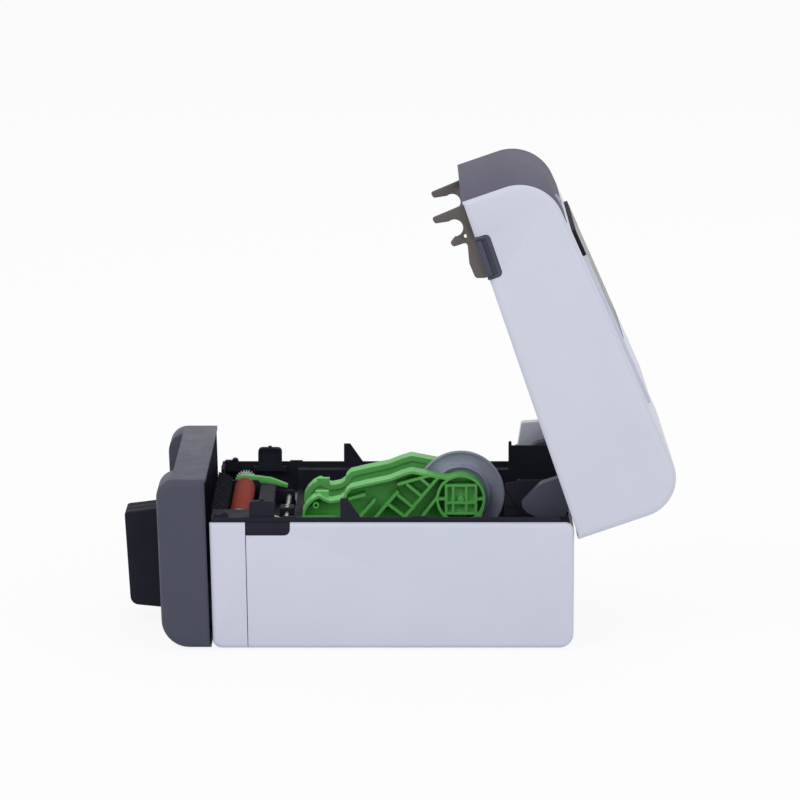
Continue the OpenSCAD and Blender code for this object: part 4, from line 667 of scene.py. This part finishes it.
@dataclass(frozen=True)
class Tilt:
    """The lid's turn from its closed place to the open one that the frame is drawn in.

    Attributes:
        pin: Y and Z of the hinge pins.
        angle: Degrees from open to closed.
        rear: Y of the closed lid's rear edge.
        edge: Z of the closed lid's lower edge.
    """

    pin: tuple[float, float] = (0.1273, 0.0789)
    angle: float = 70.9
    rear: float = 0.135
    edge: float = 0.0915

    def opened(self, place: Vector) -> Vector:
        """Turns a place on the closed lid to where it is on the open one.

        Args:
            place: The place on the closed lid.

        Returns:
            The same place with the lid open.
        """
        bend = math.radians(-self.angle)
        y, z = place[1] - self.pin[0], place[2] - self.pin[1]
        return Vector((place[0],
                       self.pin[0] + y * math.cos(bend) - z * math.sin(bend),
                       self.pin[1] + y * math.sin(bend) + z * math.cos(bend)))

    def lid_point(self, x: float, along: float, up: float) -> Vector:
        """Returns a place on the open lid, measured forwards and up from its rear lower edge."""
        return self.opened(Vector((x, self.rear - along, self.edge + up)))


@dataclass
class SubAssembly:
    """A group of CAD nodes that are dressed together.

    Attributes:
        nodes: Finish and bevel width by CAD node name.
    """

    nodes: Dressing = field(default_factory=dict)

    def dress(self, frame: dict, paints: Paintbox, edges: EdgeCare) -> None:
        """Puts finishes and soft edges on this group's nodes.

        Args:
            paints: The finishes.
            edges: The edge softener.
        """
        for name, (finish, width) in self.nodes.items():
            node = frame["nodes"][name]
            paints.coat(node, finish)
            edges.soften(node, width)
        log.info("%s: %d nodes dressed", type(self).__name__, len(self.nodes))

    def build(self, paints: Paintbox) -> list[bpy.types.Object]:
        """Builds this group's own small fittings; a plain group has none."""
        return []


@dataclass
class BaseCase(SubAssembly):
    """White lower case with its covers, feet, sockets and board.

    Attributes:
        nodes: Finish and bevel width by CAD node name.
        wall_y: Outer face of the rear wall.
        lan_pins: Number of contacts in the network socket.
        lan_pitch: Distance from one of them to the next.
        lan_pin: Shape of such a contact.
        lan_pin_place: Its middle from the wall's face and from the socket's top.
        usb_pin: Shape of a contact on the host socket's tongue.
        usb_pin_places: How far the four of them are from the socket's middle along X and Z.
        usb_pin_y: Their middle from the wall's face.
        port_light: Shape of a light window at the network socket.
        port_light_place: Its middle from the socket's side, mouth and top.
        board_top: Top face of the board.
        chips: X, Y, width and length of each flat chip.
        chip_height: How far a chip stands above the board.
        chip_soft: Width of a chip's softened edges.
        header_pins: Number of posts in the pin header.
        header_pin: Shape of such a post.
        header_foot: X and Y of the first post.
        header_pitch: Distance from one post to the next.
        cans: X, Y and radius of each capacitor can.
        can_profile: Share of the radius and height of each ring of a can.
    """

    nodes: Dressing = field(default_factory=lambda: {
        "lower_case": (Finishes.WHITE, 0.0004),
        "side_cover_right": (Finishes.WHITE, 0.0003),
        "side_cover_left": (Finishes.WHITE, 0.0003),
        "latch_catch_right": (Finishes.BLACK, 0.0002),
        "latch_catch_left": (Finishes.BLACK, 0.0002),
        "rubber_feet": (Finishes.FEET, 0.0004),
        "case_screws": (Finishes.STEEL, 0.0),
        "main_board": (Finishes.BOARD, 0.0),
        "usb_socket": (Finishes.STEEL, 0.0002),
        "lan_socket": (Finishes.STEEL, 0.0002),
        "power_inlet": (Finishes.BLACK, 0.0002),
        "switch_housing": (Finishes.BLACK, 0.0003),
        "power_rocker": (Finishes.BLACK, 0.0003),
    })
    wall_y: float = 0.1396
    lan_pins: int = 8
    lan_pitch: float = 0.00102
    lan_pin: Block = Block((0.0004, 0.0065, 0.0004), 0.00008)
    lan_pin_place: tuple[float, float] = (0.00625, 0.0038)
    usb_pin: Block = Block((0.0010, 0.0057, 0.00012), 0.00004)
    usb_pin_places: tuple[float, float] = (0.0013, 0.00162)
    usb_pin_y: float = 0.00465
    port_light: Block = Block((0.0024, 0.0006, 0.0012), 0.0001)
    port_light_place: Point = (0.0022, 0.0001, 0.0011)
    board_top: float = 0.0096
    chips: tuple[tuple[float, float, float, float], ...] = (
        (-0.012, 0.078, 0.014, 0.014), (-0.040, 0.066, 0.010, 0.014), (-0.010, 0.048, 0.008, 0.012),
        (0.020, 0.074, 0.007, 0.005), (-0.045, 0.098, 0.008, 0.008))
    chip_height: float = 0.0016
    chip_soft: float = 0.0002
    header_pins: int = 6
    header_pin: Block = Block((0.0024, 0.0022, 0.0060), 0.0002)
    header_foot: tuple[float, float] = (0.0312, 0.0571)
    header_pitch: float = 0.0025
    cans: tuple[Point, ...] = (
        (0.032, 0.040, 0.004), (0.022, 0.036, 0.003),
        (-0.052, 0.042, 0.004), (-0.052, 0.114, 0.003))
    can_profile: Profile = (
        (0, 0), (1, 0), (1, 0.0008), (0.93, 0.0014), (1, 0.002), (1, 0.0098), (0.92, 0.0104),
        (0.8, 0.0103), (0, 0.0102))

    def build(self, paints: Paintbox) -> list[bpy.types.Object]:
        """Builds socket contacts, socket lights and the board's parts.

        Args:
            paints: The finishes.

        Returns:
            The pieces made.
        """
        return [
            self.contacts().cast(paints.get(Finishes.GOLD), "case"),
            self.port_lights().cast(paints.get(Finishes.LENS), "case"),
            self.board_chips().cast(paints.get(Finishes.CHIP), "case"),
            self.board_cans().cast(paints.get(Finishes.STEEL), "case"),
        ]

    def contacts(self) -> Mould:
        """Makes the spring contacts of the network socket and of the host socket's tongue.

        Returns:
            The filled mould.
        """
        mould = Mould("socket_contacts")
        low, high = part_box("lan_socket")
        y, z = self.wall_y - self.lan_pin_place[0], high[2] - self.lan_pin_place[1]
        first = (low[0] + high[0] - (self.lan_pins - 1) * self.lan_pitch) / 2
        for number in range(self.lan_pins):
            mould.block((first + number * self.lan_pitch, y, z), self.lan_pin)
        low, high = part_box("usb_socket")
        aside, off = self.usb_pin_places
        for z in ((low[2] + high[2]) / 2 - off, (low[2] + high[2]) / 2 + off):
            for x in ((low[0] + high[0]) / 2 - aside, (low[0] + high[0]) / 2 + aside):
                mould.block((x, self.wall_y - self.usb_pin_y, z), self.usb_pin)
        return mould

    def port_lights(self) -> Mould:
        """Makes the two small light windows above the network socket's mouth.

        Returns:
            The filled mould.
        """
        mould = Mould("socket_lights")
        low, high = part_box("lan_socket")
        aside, back, down = self.port_light_place
        for x in (low[0] + aside, high[0] - aside):
            mould.block((x, high[1] - back, high[2] - down), self.port_light)
        return mould

    def board_chips(self) -> Mould:
        """Makes the flat chips and the pin header on the board.

        Returns:
            The filled mould.
        """
        mould = Mould("board_chips")
        for x, y, wide, long in self.chips:
            chip = Block((wide, long, self.chip_height), self.chip_soft)
            mould.block((x, y, self.board_top + self.chip_height / 2), chip)
        x, y = self.header_foot
        z = self.board_top + self.header_pin.size[2] / 2
        for number in range(self.header_pins):
            mould.block((x, y + number * self.header_pitch, z), self.header_pin)
        return mould

    def board_cans(self) -> Mould:
        """Makes the capacitor cans on the board.

        Returns:
            The filled mould.
        """
        mould = Mould("board_cans")
        for x, y, radius in self.cans:
            profile = [(share * radius, up) for share, up in self.can_profile]
            mould.turn(profile, (x, y, self.board_top))
        return mould


@dataclass
class FrontPanel(SubAssembly):
    """Dark front panel and the black module on it.

    Attributes:
        nodes: Finish and bevel width by CAD node name.
    """

    nodes: Dressing = field(default_factory=lambda: {
        "front_panel": (Finishes.PANEL, 0.0006),
        "module_body": (Finishes.BLACK, 0.0004),
        "module_shell_right": (Finishes.BLACK, 0.0004),
        "module_shell_left": (Finishes.BLACK, 0.0004),
    })


@dataclass
class Tray(SubAssembly):
    """Black inner tray with what stands on it.

    Attributes:
        nodes: Finish and bevel width by CAD node name.
    """

    nodes: Dressing = field(default_factory=lambda: {
        "inner_tray": (Finishes.BLACK, 0.0),
        "rear_housing": (Finishes.BLACK, 0.0004),
        "rear_cap": (Finishes.WHITE, 0.0006),
        "hinge_pins": (Finishes.STEEL, 0.0),
        "guide_rods": (Finishes.STEEL, 0.0),
    })


@dataclass
class PlatenDrive(SubAssembly):
    """Roller, levers, comb, sensor and gear train.

    Attributes:
        nodes: Finish and bevel width by CAD node name.
        screw_spots: X and Y of each screw of the frame.
        screw_foot: Z of the face that the screws sit on.
        screw_profile: Radius and height of each ring of a flat screw head with a socket.
        lens_aside: How far each lens of the sensor is from its middle.
        lens_profile: Radius and height of each ring of a lens.
    """

    nodes: Dressing = field(default_factory=lambda: {
        "platen_frame": (Finishes.BLACK, 0.0),
        "output_comb": (Finishes.BLACK, 0.0002),
        "platen_shaft": (Finishes.STEEL, 0.0),
        "platen_roller": (Finishes.RUBBER, 0.0003),
        "platen_gear": (Finishes.GEAR, 0.0),
        "platen_lever_right": (Finishes.GREEN, 0.0003),
        "platen_lever_left": (Finishes.GREEN, 0.0003),
        "drive_plate": (Finishes.SHEET, 0.0),
        "motor": (Finishes.BLACK, 0.0003),
        "motor_shaft": (Finishes.STEEL, 0.0),
        "motor_pinion": (Finishes.GEAR, 0.0),
        "idler_post": (Finishes.STEEL, 0.0),
        "idler_gear": (Finishes.GEAR, 0.0),
        "sensor_rail": (Finishes.STEEL, 0.0),
        "media_sensor": (Finishes.BLACK, 0.0003),
    })
    screw_spots: tuple[tuple[float, float], ...] = (
        (-0.030, -0.0956), (0.046, -0.0956), (-0.030, -0.0582), (0.046, -0.0582))
    screw_foot: float = 0.0685
    screw_profile: Profile = (
        (0, 0.0002), (0.001102, 0.0002), (0.001218, 0.0008), (0.00203, 0.00077), (0.002755, 0.0006),
        (0.0029, 0.0003), (0.0029, 0.00005))
    lens_aside: float = 0.003
    lens_profile: Profile = (
        (0.0014, -0.0002), (0.0014, 0.0001), (0.0011, 0.0003), (0.0006, 0.00045), (0, 0.0005))

    def build(self, paints: Paintbox) -> list[bpy.types.Object]:
        """Builds the frame's screws and the sensor's lenses.

        Args:
            paints: The finishes.

        Returns:
            The pieces made.
        """
        return [
            self.screws().cast(paints.get(Finishes.STEEL), "case"),
            self.lenses().cast(paints.get(Finishes.LENS), "sensor"),
        ]

    def screws(self) -> Mould:
        """Makes the flat-headed screws that hold the platen frame.

        Returns:
            The filled mould.
        """
        mould = Mould("frame_screws")
        for x, y in self.screw_spots:
            mould.turn(self.screw_profile, (x, y, self.screw_foot))
        return mould

    def lenses(self) -> Mould:
        """Makes the two small lenses on top of the media sensor.

        Returns:
            The filled mould.
        """
        mould = Mould("sensor_lenses")
        low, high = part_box("media_sensor")
        for x in (-self.lens_aside, self.lens_aside):
            mould.turn(self.lens_profile, (x, (low[1] + high[1]) / 2, high[2]))
        return mould


@dataclass
class RollHolder(SubAssembly):
    """Green ribbed arms with their racks, spool disc and hub.

    Attributes:
        nodes: Finish and bevel width by CAD node name.
    """

    nodes: Dressing = field(default_factory=lambda: {
        "roll_arm_right": (Finishes.GREEN, 0.0),
        "roll_arm_left": (Finishes.GREEN, 0.0),
        "centring_pinion": (Finishes.BLACK, 0.0),
        "spool_disc": (Finishes.GREY, 0.0003),
        "spool_hub": (Finishes.GREY, 0.0003),
    })


@dataclass
class Lid(SubAssembly):
    """White lid with its band, window, latch parts and hinge arms.

    Attributes:
        nodes: Finish and bevel width by CAD node name.
        tilt: The lid's turn from closed to open.
        top_up: Height of the band's top over the lid's lower edge, carried on to the rear edge.
        top_fall: Slope of that top towards the front, in radians.
        light_x: X of the status light.
        light_along: Its distance from the closed lid's rear edge.
        light_profile: Radius and height of each ring of its lens.
    """

    nodes: Dressing = field(default_factory=lambda: {
        "lid_shell": (Finishes.WHITE, 0.0005),
        "lid_band": (Finishes.BAND, 0.0),
        "window_frame": (Finishes.BLACK, 0.0004),
        "lid_window": (Finishes.WINDOW, 0.0),
        "hinge_arm_right": (Finishes.PANEL, 0.0),
        "hinge_arm_left": (Finishes.PANEL, 0.0),
        "latch_plates": (Finishes.PANEL, 0.0003),
        "latch_button_right": (Finishes.PANEL, 0.0003),
        "latch_button_left": (Finishes.PANEL, 0.0003),
        "feed_button": (Finishes.GREY, 0.0003),
    })
    tilt: Tilt = Tilt()
    top_up: float = 0.0795
    top_fall: float = math.atan(20.6 / 242.9)
    light_x: float = 0.046
    light_along: float = 0.2160
    light_profile: Profile = (
        (0.0022, -0.0006), (0.0022, 0.0002), (0.0019, 0.0005), (0.0012, 0.0008), (0, 0.0009))

    def build(self, paints: Paintbox) -> list[bpy.types.Object]:
        """Builds the status light beside the feed button.

        Args:
            paints: The finishes.

        Returns:
            The pieces made.
        """
        return [self.status_light().cast(paints.get(Finishes.LENS), "lid")]

    def status_light(self) -> Mould:
        """Makes the status light's lens, seated in the band's top.

        Returns:
            The filled mould.
        """
        mould = Mould("status_light")
        up = self.top_up - self.light_along * math.tan(self.top_fall)
        foot = self.tilt.lid_point(self.light_x, self.light_along, up)
        above = self.tilt.lid_point(
            self.light_x, self.light_along - math.sin(self.top_fall), up + math.cos(self.top_fall))
        mould.turn(self.light_profile, tuple(foot), tuple(above - foot))
        return mould


@dataclass
class HeadAndRibbon(SubAssembly):
    """Print head, steel forks and the ribbon spindles under the lid.

    Attributes:
        nodes: Finish and bevel width by CAD node name.
        tilt: The lid's turn from closed to open.
        head_along: The print head's distance from the closed lid's rear edge.
        strip: Shape of the heating strip.
        strip_up: Its middle over the lid's lower edge.
        screw_aside: How far each screw is from the head's middle.
        screw_up: The screws' foot over the lid's lower edge.
        screw_profile: Radius and height of each ring of a round screw head with a socket.
    """

    nodes: Dressing = field(default_factory=lambda: {
        "ribbon_cradle": (Finishes.BLACK, 0.0003),
        "head_carrier": (Finishes.BLACK, 0.0003),
        "head_forks": (Finishes.SHEET, 0.0002),
        "print_head": (Finishes.STEEL, 0.0),
        "head_springs": (Finishes.STEEL, 0.0),
        "supply_spindle": (Finishes.GREY, 0.0003),
        "rewind_spindle": (Finishes.GREY, 0.0003),
        "rewind_gear": (Finishes.GEAR, 0.0),
    })
    tilt: Tilt = Tilt()
    head_along: float = 0.2232
    strip: Block = Block((0.104, 0.0014, 0.00032), 0.00005)
    strip_up: float = -0.00321
    screw_aside: float = 0.024
    screw_up: float = 0.0119
    screw_profile: Profile = (
        (0, 0.0008), (0.0010, 0.0008), (0.0011, 0.0016), (0.0019, 0.0015), (0.0025, 0.0010),
        (0.0026, 0.0004), (0.0026, 0))

    def build(self, paints: Paintbox) -> list[bpy.types.Object]:
        """Builds the heating strip and the head's screws.

        Args:
            paints: The finishes.

        Returns:
            The pieces made.
        """
        return [
            self.heating_strip().cast(paints.get(Finishes.CERAMIC), "head"),
            self.head_screws().cast(paints.get(Finishes.STEEL), "head"),
        ]

    def heating_strip(self) -> Mould:
        """Makes the glazed strip along the print head's lowest edge.

        Returns:
            The filled mould.
        """
        mould = Mould("heating_strip")
        middle = (0, self.tilt.rear - self.head_along, self.tilt.edge + self.strip_up)
        mould.block(middle, self.strip, self.tilt)
        return mould

    def head_screws(self) -> Mould:
        """Makes the screws on top of the head carrier.

        Returns:
            The filled mould.
        """
        mould = Mould("head_screws")
        for x in (-self.screw_aside, self.screw_aside):
            foot = self.tilt.lid_point(x, self.head_along, self.screw_up)
            above = self.tilt.lid_point(x, self.head_along, self.screw_up + 1)
            mould.turn(self.screw_profile, tuple(foot), tuple(above - foot))
        return mould


@dataclass(frozen=True)
class Lamp:
    """One square soft lamp of the studio.

    Attributes:
        name: Its name.
        place: Where it stands.
        watts: Its power.
        size: Its side.
    """

    name: str
    place: Point
    watts: float
    size: float


@dataclass(frozen=True)
class Studio:
    """White studio with soft lamps and a long lens at the photograph's angle.

    Attributes:
        eye: The camera's place.
        fall: The camera's angle below level, in degrees.
        lens: Focal length in millimetres.
        sensor: Width of the camera's sensor in millimetres.
        sight: How far the camera sees.
        lamps: The lamps.
        aim: The point that the lamps face.
        world_colour: Colour of the world's light on the object.
        world_level: Strength of that light.
        floor_half: Half of the floor's side.
        floor_drop: How far the floor lies below the feet.
        floor_colour: Colour of the floor's matt part, which takes the shadow.
        floor_glow: Share of plain white in the floor as it is seen.
    """

    eye: Point = (2.9454, 0.0216, 0.6888)
    fall: float = 10.3
    lens: float = 194.4
    sensor: float = 36
    sight: float = 50
    lamps: tuple[Lamp, ...] = (
        Lamp("key", (1.6, -1.3, 2.2), 18, 1.6),
        Lamp("fill", (1.9, 1.6, 1.2), 9, 1.8),
        Lamp("back", (-1.6, 0.6, 2.0), 9, 1.6),
    )
    aim: Point = (0, 0, 0.12)
    world_colour: Colour = (0.97, 0.98, 1.0)
    world_level: float = 0.7
    floor_half: float = 6.0
    floor_drop: float = 0.0002
    floor_colour: Colour = (0.86, 0.86, 0.88)
    floor_glow: float = 0.9

    def build(self) -> None:
        """Builds the camera, the world, the floor and the lamps."""
        self.camera()
        self.world()
        self.floor()
        for lamp in self.lamps:
            self.light(lamp)
        bpy.context.scene.view_settings.view_transform = "Standard"

    def camera(self) -> None:
        """Places the camera at the photograph's angle."""
        data = bpy.data.cameras.new("camera")
        data.lens = self.lens
        data.sensor_width = self.sensor
        data.clip_end = self.sight
        seen = put_in_scene("camera", data)
        seen.location = self.eye
        angle = math.radians(self.fall)
        look = Vector((-math.cos(angle), 0, -math.sin(angle)))
        seen.rotation_euler = look.to_track_quat("-Z", "Y").to_euler()
        bpy.context.scene.camera = seen

    def light(self, lamp: Lamp) -> None:
        """Sets up one lamp and turns it to the printer.

        Args:
            lamp: The lamp to set up.
        """
        data = bpy.data.lights.new(lamp.name, "AREA")
        data.energy = lamp.watts
        data.size = lamp.size
        stand = put_in_scene(lamp.name, data)
        stand.location = lamp.place
        look = Vector(self.aim) - Vector(lamp.place)
        stand.rotation_euler = look.to_track_quat("-Z", "Y").to_euler()

    def world(self) -> None:
        """Lights the object at a plain level and shows white behind it."""
        world = bpy.data.worlds.new("studio")
        bpy.context.scene.world = world
        bench = Bench(world)
        out = bench.add("ShaderNodeOutputWorld")
        mix = bench.add("ShaderNodeMixShader")
        light = bench.add("ShaderNodeBackground")
        light.inputs["Color"].default_value = (*self.world_colour, 1)
        light.inputs["Strength"].default_value = self.world_level
        white = bench.add("ShaderNodeBackground")
        white.inputs["Color"].default_value = (1, 1, 1, 1)
        white.inputs["Strength"].default_value = 1
        bench.join(bench.seen_directly(), mix.inputs[0])
        bench.join(light.outputs[0], mix.inputs[1])
        bench.join(white.outputs[0], mix.inputs[2])
        bench.join(mix.outputs[0], out.inputs[0])

    def floor(self) -> None:
        """Lays a white floor that keeps a faint shadow."""
        mesh = bpy.data.meshes.new("floor")
        half = self.floor_half
        corners = [(-half, -half, 0), (half, -half, 0), (half, half, 0), (-half, half, 0)]
        mesh.from_pydata(corners, [], [(0, 1, 2, 3)])
        floor = put_in_scene("floor", mesh)
        floor.location.z = -self.floor_drop
        material = bpy.data.materials.new("floor")
        bench = Bench(material)
        out = bench.add("ShaderNodeOutputMaterial")
        matt = bench.add("ShaderNodeBsdfDiffuse")
        matt.inputs["Color"].default_value = (*self.floor_colour, 1)
        glow = bench.add("ShaderNodeEmission")
        glow.inputs["Color"].default_value = (1, 1, 1, 1)
        part = bench.add("ShaderNodeMixShader")
        part.inputs[0].default_value = self.floor_glow
        mix = bench.add("ShaderNodeMixShader")
        bench.join(matt.outputs[0], part.inputs[1])
        bench.join(glow.outputs[0], part.inputs[2])
        bench.join(bench.seen_directly(), mix.inputs[0])
        bench.join(matt.outputs[0], mix.inputs[1])
        bench.join(part.outputs[0], mix.inputs[2])
        bench.join(mix.outputs[0], out.inputs[0])
        mesh.materials.append(material)


def main() -> None:
    """Builds the looks in order: studio first, then each sub-assembly."""
    logging.basicConfig(level=logging.INFO)
    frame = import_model()
    Studio().build()
    paints = Paintbox()
    edges = EdgeCare()
    base = (BaseCase(), FrontPanel(), Tray(), PlatenDrive(), RollHolder())
    cover = (Lid(), HeadAndRibbon())
    for group in base + cover:
        group.dress(frame, paints, edges)
        for piece in group.build(paints):
            log.info("built %s", piece.name)


if __name__ == "__main__":
    main()
